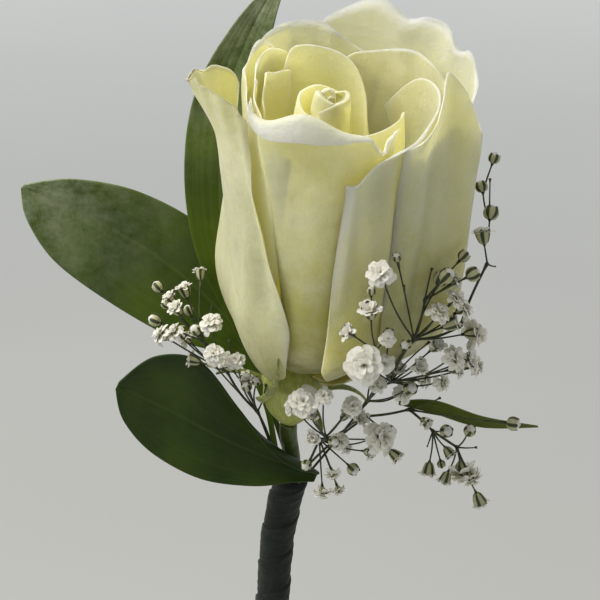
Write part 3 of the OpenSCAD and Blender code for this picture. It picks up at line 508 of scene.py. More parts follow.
def petal_finish(name, foot, low, body, rim, painted_glow=0.0, speck=0.0):
    finish, tree = new_finish(name)
    spot = add(tree, "UVMap", {})
    split = add(tree, "SeparateXYZ", {"Vector": spot})
    # The margins at the sides are as pale as the rim: v is raised there
    across = add(tree, "MapRange", {"Value": split.outputs["X"], "To Min": -1.0})
    away = add(tree, "Math", {0: across}, operation="ABSOLUTE")
    margin = add(tree, "MapRange", {"Value": away, "From Min": 0.84, "To Max": 0.14},
                 interpolation_type="SMOOTHSTEP")
    height = add(tree, "Math", {0: split.outputs["Y"], 1: margin}, operation="ADD")
    body_colour = add(tree, "ValToRGB", {"Fac": height})
    stops(body_colour, [(0.0, foot), (0.3, low), (0.62, body), (0.93, rim)])
    # Veins: a few tenths of a millimetre wide, some 20 mm long
    fan = add(tree, "Mapping", {"Vector": spot, "Scale": (26, 1.4, 1)})
    veins = add(tree, "TexNoise", {"Vector": fan, "Scale": 3.2, "Detail": 5, "Roughness": 0.55})
    streaks = add(tree, "MapRange", {"Value": veins, "From Min": 0.35, "From Max": 0.7,
                                     "To Max": 0.07})
    # Blotches of some 8 mm down to 1 mm, where the sheet is thicker or thinner
    place = add(tree, "TexCoord", {}).outputs["Object"]
    blotch = add(tree, "TexNoise", {"Vector": place, "Scale": 120, "Detail": 6, "Roughness": 0.68})
    patches = add(tree, "MapRange", {"Value": blotch, "From Min": 0.38, "From Max": 0.68,
                                     "To Max": 0.4})
    # A dry brown speck, 1 mm across, on the tip of the rim
    from_tip = add(tree, "VectorMath", {0: spot, 1: (0.42, 1.0, 0)}, operation="DISTANCE")
    dry = add(tree, "MapRange", {"Value": from_tip.outputs["Value"], "From Min": 0.012,
                                 "From Max": 0.03, "To Min": speck, "To Max": 0.0})
    tint = body_colour.outputs[0]
    for share, code in ((streaks, low), (patches, rim), (dry, DRY_TIP)):
        layer = add(tree, "Mix", {"Factor": share, UNDER: tint, OVER: paint(code)}, data_type="RGBA")
        tint = layer.outputs[MIXED]
    # Painted glow: the deep gaps near the foot give off light, standing in for light that has come
    # through several petals
    painted_glow_share = add(tree, "MapRange", {"Value": split.outputs["Y"], "From Min": 0.45, "From Max": 0.98,
                                  "To Min": painted_glow, "To Max": 0.0}, interpolation_type="SMOOTHSTEP")
    # The sheet is slightly uneven everywhere, over 1 to 4 mm. Its velvet cells are a few hundredths
    # of a millimetre, and are drawn at 0.3 mm so that they show
    uneven = add(tree, "TexNoise", {"Vector": place, "Scale": 420, "Detail": 4, "Roughness": 0.6})
    cells = add(tree, "TexNoise", {"Vector": place, "Scale": 3300, "Detail": 2})
    ribbed = add(tree, "Bump", {"Height": veins, "Strength": 0.12, "Distance": 0.0003})
    dimpled = add(tree, "Bump", {"Height": uneven, "Strength": 0.5, "Distance": 0.0006,
                                 "Normal": ribbed})
    bump = add(tree, "Bump", {"Height": cells, "Strength": 0.5, "Distance": 0.00006,
                              "Normal": dimpled})
    skin = add(tree, "BsdfPrincipled", {
        "Base Color": tint, "Normal": bump, "Roughness": 0.52, "IOR": 1.4,
        "Emission Color": paint(PAINTED_GLOW_COLOUR), "Emission Strength": painted_glow_share,
        "Subsurface Weight": 0.85, "Subsurface Radius": (1.0, 0.92, 0.5), "Subsurface Scale": 0.0022,
        "Sheen Weight": 0.12, "Sheen Roughness": 0.4, "Specular IOR Level": 0.35})
    add(tree, "OutputMaterial", {"Surface": skin})
    return finish


ivory_petal = petal_finish("outer_petal_skin_ivory", "#B7B44E", "#D3D08A", "#E0DEB4", "#DBDAC0")
# Front petals: a darker, more olive foot, low part and body, which is painted shade for petals turned
# away from the light
shaded_front_petal = petal_finish("front_petal_skin_painted_shade", "#726F2E", "#B5B16C", "#D0CD98", "#E6E5C8")
# The outer left petal: its greyer, darker rim is painted shade; the brown speck on its tip is a real
# dry mark
shaded_speckled_petal = petal_finish("guard_petal_skin_shaded_speckled", "#96944E", "#CDCC9E", "#CFCEA8", "#959479",
                          speck=0.9)
# The heart and the inner petals get a painted glow near their feet
heart_petal = petal_finish("heart_petal_skin_yellow", "#CFC544", "#EEE67A", "#F7F1A2", "#F7F2BA",
                           painted_glow=0.09)
cream_petal = petal_finish("inner_petal_skin_cream", "#CCC248", "#E9E17C", "#F0EBA6", "#EEEAC6",
                           painted_glow=0.075)
PETAL_SKINS = (ivory_petal, shaded_front_petal, shaded_speckled_petal, heart_petal, cream_petal)
print("petal finishes:", [skin.name for skin in PETAL_SKINS])

# %% Make the petals
PETAL_WALL, PETAL_ROWS, CELLS_A_RIB, MOST_ACROSS = 0.34, 42, 9, 48
# Shares of the sheet over which its wall thins out, and the shares of the wall that are left there
SIDE_REACH, RIM_REACH, SIDE_LEFT, RIM_LEFT = 0.06, 0.14, 0.25, 0.22
# The front petals take the finish with painted shade
SKINS = {name: shaded_front_petal for name in ("petal_front", "petal_front_right", "petal_right_side")}
# The outer left petal takes the finish with painted shade at its rim and a real dry speck
SKINS["petal_left_outer"] = shaded_speckled_petal
for name in ("petal_left_fold", "petal_left_fold_outer", "petal_right_inner", "petal_front_inner",
             "petal_left_inner"):
    SKINS[name] = cream_petal


def petal_thin(u, v):
    """A petal is thickest at its foot and thins out to its rim and its sides."""
    side = SIDE_LEFT + (1 - SIDE_LEFT) * smooth_step(min(u, 1 - u) / SIDE_REACH)
    rim = RIM_LEFT + (1 - RIM_LEFT) * smooth_step((1 - v) / RIM_REACH)
    return clamp((1.15 - 0.6 * v) * side * rim, 0, 1)


for name, ribs in RIBS.items():
    bm = bmesh.new()
    across = min(CELLS_A_RIB * (len(ribs) - 1), MOST_ACROSS)
    grid_onto(bm, across, PETAL_ROWS, petal_place(name))
    finish_piece(bm, "rose_" + name, SKINS.get(name, ivory_petal), [name], wall=PETAL_WALL,
                 smoother=1, thin=petal_thin)

# %% [markdown]
# ## The heart
# In the middle the petals are still rolled up round one another. The heart is a spiral: each
# petal is turned from the one before by the golden angle, and the innermost close over the top.

# %% Make the heart
# For each petal: its radius, how far it closes over the top, and its height
HEART = [(0.035, 0.97, 0.915), (0.07, 0.8, 0.925), (0.11, 0.5, 0.925), (0.15, 0.3, 0.92),
         (0.195, 0.16, 0.91)]
GOLDEN_ANGLE, FIRST_AT, HALF_ROUND, HEART_CELLS = 137.5, -60, 112, (28, 24)
CLOSES_FROM, CLOSES_OVER = 0.62, 0.42


def heart_place(k, stalk_r):
    r, closing, rise = HEART[k]
    mid = FIRST_AT + GOLDEN_ANGLE * k
    ribs = [(mid + u * HALF_ROUND, mid + u * HALF_ROUND, r * 1.2, r + 0.022 * u,
             rise - 0.035 * u * u, 5, 0.4, 0) for u in (-1, -0.5, 0, 0.5, 1)]

    def place(u, v):
        rib = between(ribs, u * (len(ribs) - 1))
        p = rib_point(rib, 0.02 + station(v, False) * 0.98, stalk_r * 0.6, rib[FOOT])
        shut = closing * smooth_step((v - CLOSES_FROM) / CLOSES_OVER)
        close = shut * (1 - 0.5 * (2 * u - 1) ** 2)
        wave = noise.noise(p * 0.25 + Vector((k * 5.0, 0, 0))) * 0.5
        p.x *= 1 - close
        p.y *= 1 - close
        p.z += wave * v
        return on_rose @ p

    return place


stalk_r = RINGS[0] * HIP_R - PETAL_T - SEAT
bm = bmesh.new()
for k in range(len(HEART)):
    grid_onto(bm, *HEART_CELLS, heart_place(k, stalk_r))
finish_piece(bm, "rose_heart_petals", heart_petal, ["rose_heart"], wall=PETAL_WALL, smoother=1,
             thin=petal_thin)

# %% [markdown]
# ## Leaves
# The broad leaves are glossy and leathery, with veins that run from base to tip side by side and
# meet at both ends. Each is one grid, bent by a table: where the midrib runs, how wide each half
# is, and how far each half turns to the front.

# %% Leaf tables
ALONG, ASIDE, OUT, LEFT, RIGHT, LEFT_TURN, RIGHT_TURN = range(7)
LEAVES = {
    "leaf_top": [
        (0, 0, 0, 0.05, 0.05, 5, 5), (0.16, 0.05, 0.01, 0.05, 0.05, 5, 5),
        (0.31, 0.1, 0.01, 0.18, 0.18, 6, 6), (0.44, 0.13, 0, 0.42, 0.42, 6, 6),
        (0.6, 0.14, 0, 0.5, 0.5, 6, 6), (0.76, 0.12, 0, 0.47, 0.46, 6, 6),
        (0.9, 0.065, 0, 0.27, 0.27, 6, 6), (1, 0, 0, 0.02, 0.02, 5, 5)],
    "leaf_left": [
        (0, 0, 0, 0.04, 0.04, 5, 5), (0.15, -0.09, -0.02, 0.04, 0.04, 5, 5),
        (0.29, -0.15, -0.035, 0.18, 0.16, 6, 6), (0.44, -0.155, -0.045, 0.5, 0.4, 7, 7),
        (0.62, -0.13, -0.04, 0.62, 0.5, 8, 8), (0.8, -0.08, -0.005, 0.55, 0.46, 8, 8),
        (0.93, -0.03, 0.03, 0.28, 0.28, 7, 7), (1, 0, 0.04, 0.02, 0.02, 5, 5)],
    "leaf_front": [
        (0, 0, 0, 0.06, 0.08, 30, 60), (0.1, 0, 0.02, 0.14, 0.22, 26, 74),
        (0.27, 0.01, 0.03, 0.3, 0.38, 20, 62), (0.49, 0.01, 0.03, 0.42, 0.52, 16, 38),
        (0.73, 0, 0.01, 0.42, 0.64, 14, 20), (0.91, 0, 0, 0.26, 0.44, 10, 14),
        (1, 0, 0, 0.03, 0.04, 8, 8)],
    "narrow_leaf": [
        (0, 0, 0, 0.12, 0.12, 20, 20), (0.25, 0.02, 0.01, 0.5, 0.5, 30, 30),
        (0.6, -0.04, 0.01, 0.4, 0.4, 20, 20), (1, -0.02, 0, 0.05, 0.05, 10, 10)]}


def stood(at, heading, tip_out):
    """Stands a leaf up to face the front, turns it to its heading and leans its tip out."""
    return Matrix.Translation(at) @ turned(90, "X") @ turned(heading, "Z") @ turned(-tip_out, "Y")


# For each leaf: its place, its length, and the width that its table shares out
LEAF_STANDS = {
    "leaf_top": (stood(tape_spot(-0.06, 0.77, SEAT + LEAF_T / 2), 90, -3), 87, 12),
    "leaf_left": (stood(tape_spot(-0.81, 0.48, SEAT + LEAF_T / 2), 131, -4), 66, 19),
    "leaf_front": (stood(tape_spot(1.35, -0.94, SEAT + WRAP_R), 154, 2), 38, 19),
    "narrow_leaf": (stood(wrap_top + SPRAY / 100 * Vector((36.5, -20.5, 33.8)), -9, 0), 24, 2.6)}


# The groove over the midrib, the pillows between the veins and the slow waves, in millimetres
GROOVE, GROOVE_HALF, PILLOW, PILLOWS, SWAY = 0.28, 0.05, 0.05, 9, 0.5


def leaf_place(name):
    rows, (on_leaf, length, width) = LEAVES[name], LEAF_STANDS[name]
    seed = Vector((3.7, 9.1, 1.3)) * (1 + list(LEAVES).index(name))

    def place(u, v):
        row = between(rows, u * (len(rows) - 1))
        t = 2 * v - 1
        half = (row[LEFT] if t > 0 else row[RIGHT]) * width
        turn = row[LEFT_TURN] if t > 0 else row[RIGHT_TURN]
        a = abs(t)
        aside = row[ASIDE] * length + math.copysign(half * a * cos(turn * a), t)
        p = Vector((row[ALONG] * length, aside, row[OUT] * length + half * a * sin(turn * a)))
        # The midrib is sunk in front, and the blade is pillowed between its main veins
        p.z -= GROOVE * math.exp(-(t / GROOVE_HALF) ** 2) * min(1, half / 3)
        p.z += PILLOW * math.cos(t * PILLOWS * math.pi) * min(1, half / 4) * (1 - a * a)
        p.z += noise.noise(seed + p * 0.09) * SWAY * a * min(1, half / 4)
        return on_leaf @ p

    return place


# %% [markdown]
# The finish is a waxy cuticle over dark green: the veins run along the leaf in its UV map, a little
# paler than the blade, and the wax's broad greyish shine is painted in as pale patches towards the
# tip.

# %% Leaf finish
MAIN_VEINS, FINE_VEINS = (0.35, 30, 1), (1.2, 120, 1)


def leaf_finish(name, dark, light, vein, gloss, painted_sheen, painted_sheen_amount, painted_sheen_from=0.5):
    finish, tree = new_finish(name)
    spot = add(tree, "UVMap", {})
    split = add(tree, "SeparateXYZ", {"Vector": spot})
    place = add(tree, "TexCoord", {}).outputs["Object"]
    # Some 14 main veins on each half, with finer ones between them
    lanes = add(tree, "Mapping", {"Vector": spot, "Scale": MAIN_VEINS})
    main = add(tree, "TexNoise", {"Vector": lanes, "Scale": 1.0, "Detail": 3, "Roughness": 0.6,
                                  "Distortion": 0.15})
    narrow = add(tree, "Mapping", {"Vector": spot, "Scale": FINE_VEINS})
    fine = add(tree, "TexNoise", {"Vector": narrow, "Scale": 1.0, "Detail": 4, "Roughness": 0.6})
    both = add(tree, "Math", {0: main, 1: fine}, operation="MULTIPLY")
    veins = add(tree, "MapRange", {"Value": both, "From Min": 0.22, "From Max": 0.42, "To Max": 0.22})
    # The midrib, down the middle of the map
    middle = add(tree, "MapRange", {"Value": split.outputs["Y"], "To Min": -1.0})
    away = add(tree, "Math", {0: middle}, operation="ABSOLUTE")
    rib = add(tree, "MapRange", {"Value": away, "From Min": 0.012, "From Max": 0.04, "To Min": 0.35,
                                 "To Max": 0.0})
    # Painted sheen: pale grey patches some 6 mm across towards the tip stand in for the shine of the
    # wax
    cloud = add(tree, "TexNoise", {"Vector": place, "Scale": 170, "Detail": 8, "Roughness": 0.78})
    patchy = add(tree, "MapRange", {"Value": cloud, "From Min": 0.36, "From Max": 0.66})
    towards = add(tree, "MapRange", {"Value": split.outputs["X"], "From Min": painted_sheen_from,
                                     "To Max": painted_sheen_amount}, interpolation_type="SMOOTHSTEP")
    painted_sheen_share = add(tree, "Math", {0: patchy, 1: towards}, operation="MULTIPLY")
    mottle = add(tree, "TexNoise", {"Vector": place, "Scale": 90, "Detail": 4})
    blade = add(tree, "ValToRGB", {"Fac": mottle})
    stops(blade, [(0.3, dark), (0.72, light)])
    tint = blade.outputs[0]
    for share, code in ((veins, vein), (rib, vein), (painted_sheen_share, painted_sheen)):
        layer = add(tree, "Mix", {"Factor": share, UNDER: tint, OVER: paint(code)}, data_type="RGBA")
        tint = layer.outputs[MIXED]
    pores = add(tree, "TexNoise", {"Vector": place, "Scale": 2500, "Detail": 2})
    raised = add(tree, "Bump", {"Height": both, "Strength": 0.2, "Distance": 0.0003})
    bump = add(tree, "Bump", {"Height": pores, "Strength": 0.15, "Distance": 0.00005,
                              "Normal": raised})
    wax = add(tree, "MapRange", {"Value": mottle, "To Min": gloss - 0.05, "To Max": gloss + 0.12})
    skin = add(tree, "BsdfPrincipled", {
        "Base Color": tint, "Roughness": wax, "Normal": bump, "IOR": 1.35, "Specular IOR Level": 0.35,
        "Subsurface Weight": 0.05, "Subsurface Radius": (0.4, 1.0, 0.2), "Subsurface Scale": 0.0008})
    add(tree, "OutputMaterial", {"Surface": skin})
    return finish


# Each leaf finish below has a painted sheen: pale patches towards the tip
waxy_leaf_painted_sheen = leaf_finish("broad_leaf_waxy_green_painted_sheen", "#304309", "#4B5F12", "#5A6C30", 0.38, "#A3AC90",
                        0.85, painted_sheen_from=0.45)
# A darker copy for the front leaf, with the shade of the rose painted into its colour
shaded_leaf = leaf_finish("broad_leaf_green_painted_shade", "#1C2C05", "#2F410C", "#3C4C1A", 0.5, "#4A5636",
                          0.2)
soft_leaf = leaf_finish("narrow_leaf_dull_green", "#434F18", "#616C28", "#7B8444", 0.5, "#8E9668",
                        0.2)
print("leaf finishes:", waxy_leaf_painted_sheen.name, shaded_leaf.name, soft_leaf.name)

# %% Make the leaves
# For each leaf: its piece, its finish, its cells along and across, and its thickness
BLADES = {"leaf_top": ("ruscus_top", waxy_leaf_painted_sheen, 54, 30, 0.45),
          "leaf_left": ("ruscus_left", waxy_leaf_painted_sheen, 54, 30, 0.45),
          "leaf_front": ("ruscus_front", shaded_leaf, 54, 30, 0.45),
          "narrow_leaf": ("narrow_green_leaf", soft_leaf, 36, 10, 0.35)}
for name, (piece_name, finish, along, across, wall) in BLADES.items():
    bm = bmesh.new()
    grid_onto(bm, along, across, leaf_place(name))
    finish_piece(bm, piece_name, finish, [name], wall=wall, smoother=1)

# %% [markdown]
# ## Tubes and turned forms
# Stems, the hip and the tape are all tubes of changing width. A grid is rolled up round a route,
# and the two edges that meet are merged.

# %% Helpers for tubes
SAME_SPOT, NO_LENGTH = 0.000002, 0.001


def rolled(bm, around, along, place, cap=True):
    """Rolls a grid into a tube: place(turn, v) gives the point, in millimetres."""
    points = grid_onto(bm, around, along, place)
    bmesh.ops.remove_doubles(bm, verts=points, dist=SAME_SPOT)
    if cap:
        left = [p for p in points if p.is_valid]
        rims = list({e for p in left for e in p.link_edges if e.is_boundary})
        bmesh.ops.holes_fill(bm, edges=rims, sides=0)


def on_ring(u, r, z):
    """A point at radius r and height z, u turns round the axis."""
    turn = (u % 1.0) * 360
    return Vector((r * cos(turn), r * sin(turn), z))


def along_route(route, v):
    """The point at a share v of a route, with the two directions across it."""
    at = v * (len(route) - 1)
    i = int(clamp(math.floor(at), 0, len(route) - 2))
    f = at - i
    near = i + round(f)
    way = unit(route[min(near + 1, len(route) - 1)] - route[max(near - 1, 0)])
    side = way.cross(Vector((0, 1, 0)))
    side = unit(side) if side.length > NO_LENGTH else Vector((1, 0, 0))
    return route[i].lerp(route[i + 1], f), side, way.cross(side)


def tube_place(route, radius):
    """radius(turn, v) gives the tube's radius, in millimetres."""
    def place(u, v):
        middle, side, other = along_route(route, v)
        turn = (u % 1.0) * 360
        return middle + (side * cos(turn) + other * sin(turn)) * radius(u % 1.0, v)
    return place


# %% [markdown]
# ## Hip, sepals and the rose's own stem
# Under the petals sits the hip, a smooth green cup. Its sepals are the narrow green leaves that
# wrapped the bud: they curl away as the rose opens.

# %% Hip
# Height and radius up the hip's side, in shares of its own. The rest of the grid is its dome.
HIP_ROWS = [(-1, 0.30), (-0.9, 0.46), (-0.7, 0.72), (-0.45, 0.9), (-0.18, 0.94), (0, 0.99)]
HIP_SIDE, DOME_EDGE, POLE_R, HIP_RIBS, HIP_CELLS = 0.7, 0.985, 0.05, 5, (48, 40)


def hip_place(u, v):
    if v < HIP_SIDE:
        height, radius = between(HIP_ROWS, v / HIP_SIDE * (len(HIP_ROWS) - 1))
        z, r = height * HIP_H, radius * HIP_R
    else:
        r = HIP_R * DOME_EDGE * (1 - (v - HIP_SIDE) / (1 - HIP_SIDE)) + POLE_R
        z = dome_z(r)
    # Five faint ribs, one under each sepal
    rib = 0.02 * cos((u % 1.0) * 360 * HIP_RIBS)
    r *= 1 + rib * smooth_step(v / 0.5) * smooth_step((HIP_SIDE - v) / 0.2)
    return on_rose @ on_ring(u, r, z)


def stem_finish(name, dark, light, roughness):
    finish, tree = new_finish(name)
    place = add(tree, "TexCoord", {}).outputs["Object"]
    # Streaks run up the stem: some 0.5 mm wide and 6 mm long
    pulled = add(tree, "Mapping", {"Vector": place, "Scale": (1800, 1800, 160)})
    streaks = add(tree, "TexNoise", {"Vector": pulled, "Scale": 1.0, "Detail": 3})
    blotch = add(tree, "TexNoise", {"Vector": place, "Scale": 260, "Detail": 3})
    both = add(tree, "Math", {0: streaks, 1: blotch}, operation="MULTIPLY")
    tone = add(tree, "ValToRGB", {"Fac": both})
    stops(tone, [(0.16, dark), (0.4, light)])
    bump = add(tree, "Bump", {"Height": streaks, "Strength": 0.3, "Distance": 0.0001})
    skin = add(tree, "BsdfPrincipled", {
        "Base Color": tone, "Roughness": roughness, "Normal": bump,
        "Subsurface Weight": 0.15, "Subsurface Radius": (0.5, 1.0, 0.2), "Subsurface Scale": 0.001})
    add(tree, "OutputMaterial", {"Surface": skin})
    return finish


hip_skin = stem_finish("hip_skin_yellow_green", "#949A4A", "#B3B866", 0.5)
stem_skin = stem_finish("rose_stem_green", "#3C4A1C", "#66743A", 0.45)

bm = bmesh.new()
rolled(bm, *HIP_CELLS, hip_place)
finish_piece(bm, "rose_hip", hip_skin, ["calyx"], smoother=1)

# %% [markdown]
# A sepal is a narrow blade on a path that bends as it goes. Each takes one row of a table, and its
# path is walked in small steps, each a little further round than the last.

# %% Sepals
# For each sepal: its azimuth at the foot and at the tip, its length in shares of SEPAL_L, its
# heading at the foot and at the tip, how far down the hip it starts, and how far out
SEPALS = [(-160, -102, 1.60, 52, 14, 0.45, 0.95), (-60, -58, 0.50, 60, 160, 0.3, 0.86),
          (14, 12, 0.75, 60, 150, 0.3, 0.86), (86, 84, 0.75, 60, 140, 0.3, 0.86),
          (158, 162, 0.75, 60, 130, 0.3, 0.86)]
SEPAL_STEPS, SEPAL_HALF, SEPAL_BOWL, SEPAL_WALL, SEPAL_CELLS = 60, 1.0, 0.35, 0.4, (8, 30)


def sepal_place(row):
    foot_az, tip_az, long, foot_way, tip_way, low, start = row
    step = long * SEPAL_L / SEPAL_STEPS
    run = [(0.0, 0.0)]
    for k in range(1, SEPAL_STEPS + 1):
        way = foot_way + (tip_way - foot_way) * k / SEPAL_STEPS
        run.append((run[-1][0] + step * sin(way), run[-1][1] + step * cos(way)))

    def place(u, v):
        x, z = run[int(round(v * SEPAL_STEPS))]
        az = foot_az + (tip_az - foot_az) * (1 - (1 - v) ** 3)
        t = 2 * u - 1
        across = SEPAL_HALF * (1 - 0.93 * v ** 1.5) * t
        r = HIP_R * start + x - SEPAL_BOWL * t * t * (1 - v)
        return on_rose @ Vector((r * cos(az) - across * sin(az), r * sin(az) + across * cos(az),
                                 -HIP_H * low + z))

    return place


sepal_skin = stem_finish("sepal_skin_olive", "#6A7232", "#9DA458", 0.5)
bm = bmesh.new()
for row in SEPALS:
    grid_onto(bm, *SEPAL_CELLS, sepal_place(row))
finish_piece(bm, "sepals", sepal_skin, ["calyx"], wall=SEPAL_WALL, smoother=1)

# %% [markdown]
# The rose's own stem rises out of the tape and bends over into the hip. A cubic curve gives that
# bend: it leaves the tape along the tape's own way and ends along the rose's axis.

# %% The rose's stem
STEM_CELLS, STEM_STEPS = (24, 30), 30
foot, head, pull = tape_spot(0, 0, SEAT), hip_foot - rose_axis * SEAT, NECK_UP / 3
bend = [foot, foot + top_way * pull, head - rose_axis * pull, head]


def on_bend(u):
    """A point on the smooth curve from the tape's way up to the rose's axis."""
    near, far = 3 * u * (1 - u) ** 2, 3 * u * u * (1 - u)
    return bend[0] * (1 - u) ** 3 + bend[1] * near + bend[2] * far + bend[3] * u ** 3


def stem_radius(u, v):
    return STEM_D / 2 * (1 + 0.04 * math.sin(u * 25) * math.sin(v * 9))


bm = bmesh.new()
stem_route = [on_bend(i / STEM_STEPS) for i in range(STEM_STEPS + 1)]
rolled(bm, *STEM_CELLS, tube_place(stem_route, stem_radius))
finish_piece(bm, "rose_stem_green", stem_skin, ["rose_stem"], smoother=1)

# %% [markdown]
# ## Floral tape
# The stems are wound with crepe paper tape, waxed so that it sticks to itself. It is pulled tight
# as it goes round, so each turn laps over the one below in a slanting step, and the crepe pulls
# into fine creases.

# %% Tape
# Shares of a turn and of the length over which the lap's edge and the cut ends round off
LAP_EDGE, END_CUT, TAPE_CELLS, TAPE_STEPS = 0.05, 0.02, (72, 260), 160


def tape_radius(u, v):
    z = wrap_at(v).z
    lap = (z / TAPE_PITCH - u) % 1.0
    edge = smooth_step(lap / LAP_EDGE)
    # Slanting creases: broad ones a tenth of a millimetre deep, and fine ones half that
    crease = noise.noise(Vector((u * 9, z * 0.9 - u * 6, lap * 2))) * 0.12
    crease += noise.noise(Vector((u * 26, z * 3.1 - u * 20, 4.2))) * 0.05
    low_end, high_end = 1 - clamp(v / END_CUT, 0, 1), 1 - clamp((1 - v) / END_CUT, 0, 1)
    end = 1 - 0.35 * low_end ** 2 - 0.3 * high_end ** 2
    return (WRAP_R - TAPE_STEP + TAPE_STEP * (lap + (1 - lap) * (1 - edge)) + crease) * end


tape, tree = new_finish("floral_tape_crepe_paper")
place = add(tree, "TexCoord", {}).outputs["Object"]
# Crepe creases stand across the tape, some 0.4 mm apart
across = add(tree, "Mapping", {"Vector": place, "Rotation": (0, 0.5, 0),
                               "Scale": (900, 900, 2600)})
crepe = add(tree, "TexNoise", {"Vector": across, "Scale": 1.0, "Detail": 5, "Roughness": 0.65})
worn = add(tree, "TexNoise", {"Vector": place, "Scale": 300, "Detail": 4})
both = add(tree, "Math", {0: crepe, 1: worn}, operation="MULTIPLY")
tone = add(tree, "ValToRGB", {"Fac": both})
stops(tone, [(0.14, "#0A100B"), (0.3, "#121A13"), (0.48, "#1F2921")])
bump = add(tree, "Bump", {"Height": crepe, "Strength": 0.7, "Distance": 0.00025})
paper = add(tree, "BsdfPrincipled", {"Base Color": tone, "Roughness": 0.78, "Normal": bump,
                                     "Specular IOR Level": 0.3, "Sheen Weight": 0.1})
add(tree, "OutputMaterial", {"Surface": paper})

bm = bmesh.new()
tape_route = [wrap_at(i / TAPE_STEPS) for i in range(TAPE_STEPS + 1)]
rolled(bm, *TAPE_CELLS, tube_place(tape_route, tape_radius))
finish_piece(bm, "floral_tape", tape, ["tape_wrap"])

# %% [markdown]
# ## The pin
# The corsage pin is drawn steel with a moulded head. Its CAD solid has the right shape, so it
# stays and only gets its finish.

# %% Pin finish
steel, tree = new_finish("drawn_steel_nickel_plated")
place = add(tree, "TexCoord", {}).outputs["Object"]
# Drawing lines run along the wire, some 0.1 mm apart
drawn = add(tree, "Mapping", {"Vector": place, "Scale": (9000, 9000, 200)})
lines = add(tree, "TexNoise", {"Vector": drawn, "Scale": 1.0, "Detail": 2})
rough = add(tree, "MapRange", {"Value": lines, "To Min": 0.16, "To Max": 0.32})
metal = add(tree, "BsdfPrincipled", {"Base Color": paint("#C9CACC"), "Metallic": 1.0,
                                     "Roughness": rough})
add(tree, "OutputMaterial", {"Surface": metal})
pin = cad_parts["corsage_pin"]
pin.data.materials.clear()
pin.data.materials.append(steel)
print("pin finished in", steel.name)

# %% [markdown]
# ## Baby's breath
# Each spray is a bunch of thread-thin stems that fork again and again. The rows are the CAD
# model's: the row that a point grows from, its place to the right, to the back and up from the
# top of the tape in hundredths of the spray's size, then what stands there and how big it is.

# %% Spray tables
FORK, OPEN, BELL, BUD, BARE = range(5)
SPRAYS = {
    "spray_left": [
        (-1, -6, -6, 11, FORK, 1), (0, -11, -18, 30, FORK, 1), (1, -21, -24, 46, FORK, 1),
        (2, -29, -22, 56, FORK, 1), (3, -43, -14, 71, BUD, 0.87), (3, -34, -22, 71, BELL, 0.62),
        (3, -30, -11, 74, BELL, 0.54), (3, -40, -20, 67, BUD, 0.74), (3, -43, -21, 62, BUD, 0.94),
        (3, -36, -28, 67, BELL, 0.59), (2, -40, -27, 58, OPEN, 0.75), (2, -33, -18, 54, OPEN, 0.65),
        (2, -25, -38, 65, OPEN, 0.7), (2, -24, -40, 56, OPEN, 0.67), (1, -19, -34, 50, BELL, 0.7),
        (1, -11, -34, 45, BUD, 0.67)],
    "spray_low": [
        (-1, 10, -12, 18, FORK, 1), (0, 12, -33, 26, FORK, 1), (1, 5, -49, 43, OPEN, 0.97),
        (1, 11, -52, 46, OPEN, 0.56), (0, 8, -28, 24, BELL, 0.54), (1, 17, -36, 33, BELL, 0.43),
        (0, 14, -17, 9, OPEN, 0.54), (0, 11, -15, 2, OPEN, 0.59), (0, 18, -20, 18, OPEN, 0.46),
        (0, 28, -36, 27, OPEN, 1.08)],
    "spray_right": [
        (-1, 26, -22, 35, FORK, 1), (0, 33, -42, 48, FORK, 1), (1, 39, -62, 68, FORK, 1),
        (2, 42, -66, 82, FORK, 1), (1, 27, -67, 66, FORK, 1), (4, 23, -78, 65, OPEN, 1.16),
        (4, 25, -76, 79, BELL, 0.73), (6, 25, -76, 86, BUD, 0.6), (2, 28, -80, 93, OPEN, 0.81),
        (2, 33, -73, 96, BUD, 0.6), (1, 31, -66, 70, BUD, 0.81), (2, 37, -66, 68, BUD, 0.74),
        (3, 47, -67, 88, BUD, 1.08), (3, 53, -60, 93, BUD, 0.81), (3, 55, -62, 88, BUD, 1.01),
        (2, 50, -64, 80, OPEN, 0.67), (2, 55, -56, 68, OPEN, 0.94), (1, 45, -56, 63, BELL, 0.62),
        (1, 51, -52, 55, BELL, 0.59), (1, 58, -46, 54, OPEN, 0.65), (1, 42, -40, 48, OPEN, 0.59),
        (0, 36, -34, 41, OPEN, 0.65), (2, 54, -54, 70, FORK, 1), (22, 63, -44, 88, FORK, 1),
        (23, 62, -43, 94, BELL, 0.73), (24, 64, -38, 101, BUD, 1.08), (25, 62, -34, 109, BUD, 0.87),
        (26, 65, -32, 118, BUD, 0.81)],
    "spray_lower_right": [
        (-1, 26, -17, 28, FORK, 1), (0, 40, -22, 32, FORK, 1), (1, 48, -24, 25, FORK, 1),
        (2, 56, -26, 20, FORK, 1), (2, 47, -24, 14, BELL, 0.65), (3, 57, -26, 15, OPEN, 1.02),
        (2, 51, -30, 27, BUD, 0.94), (3, 59, -30, 26, BUD, 0.87), (3, 63, -24, 3, BELL, 0.67),
        (1, 72, -30, 30, BUD, 1.01), (2, 51, -20, 13, BUD, 0.6)]}
ROOTS = {"spray_left": (-0.74, -0.19), "spray_low": (0.45, -0.61), "spray_right": (0.74, -0.19),
         "spray_lower_right": (0.61, 0.45)}


# %% [markdown]
# The solids hold the blossoms that stand out. Between them the real sprays carry more flowers,
# bare side shoots and old stalks, which are written in the same way. Their first number counts on
# through the rows above.

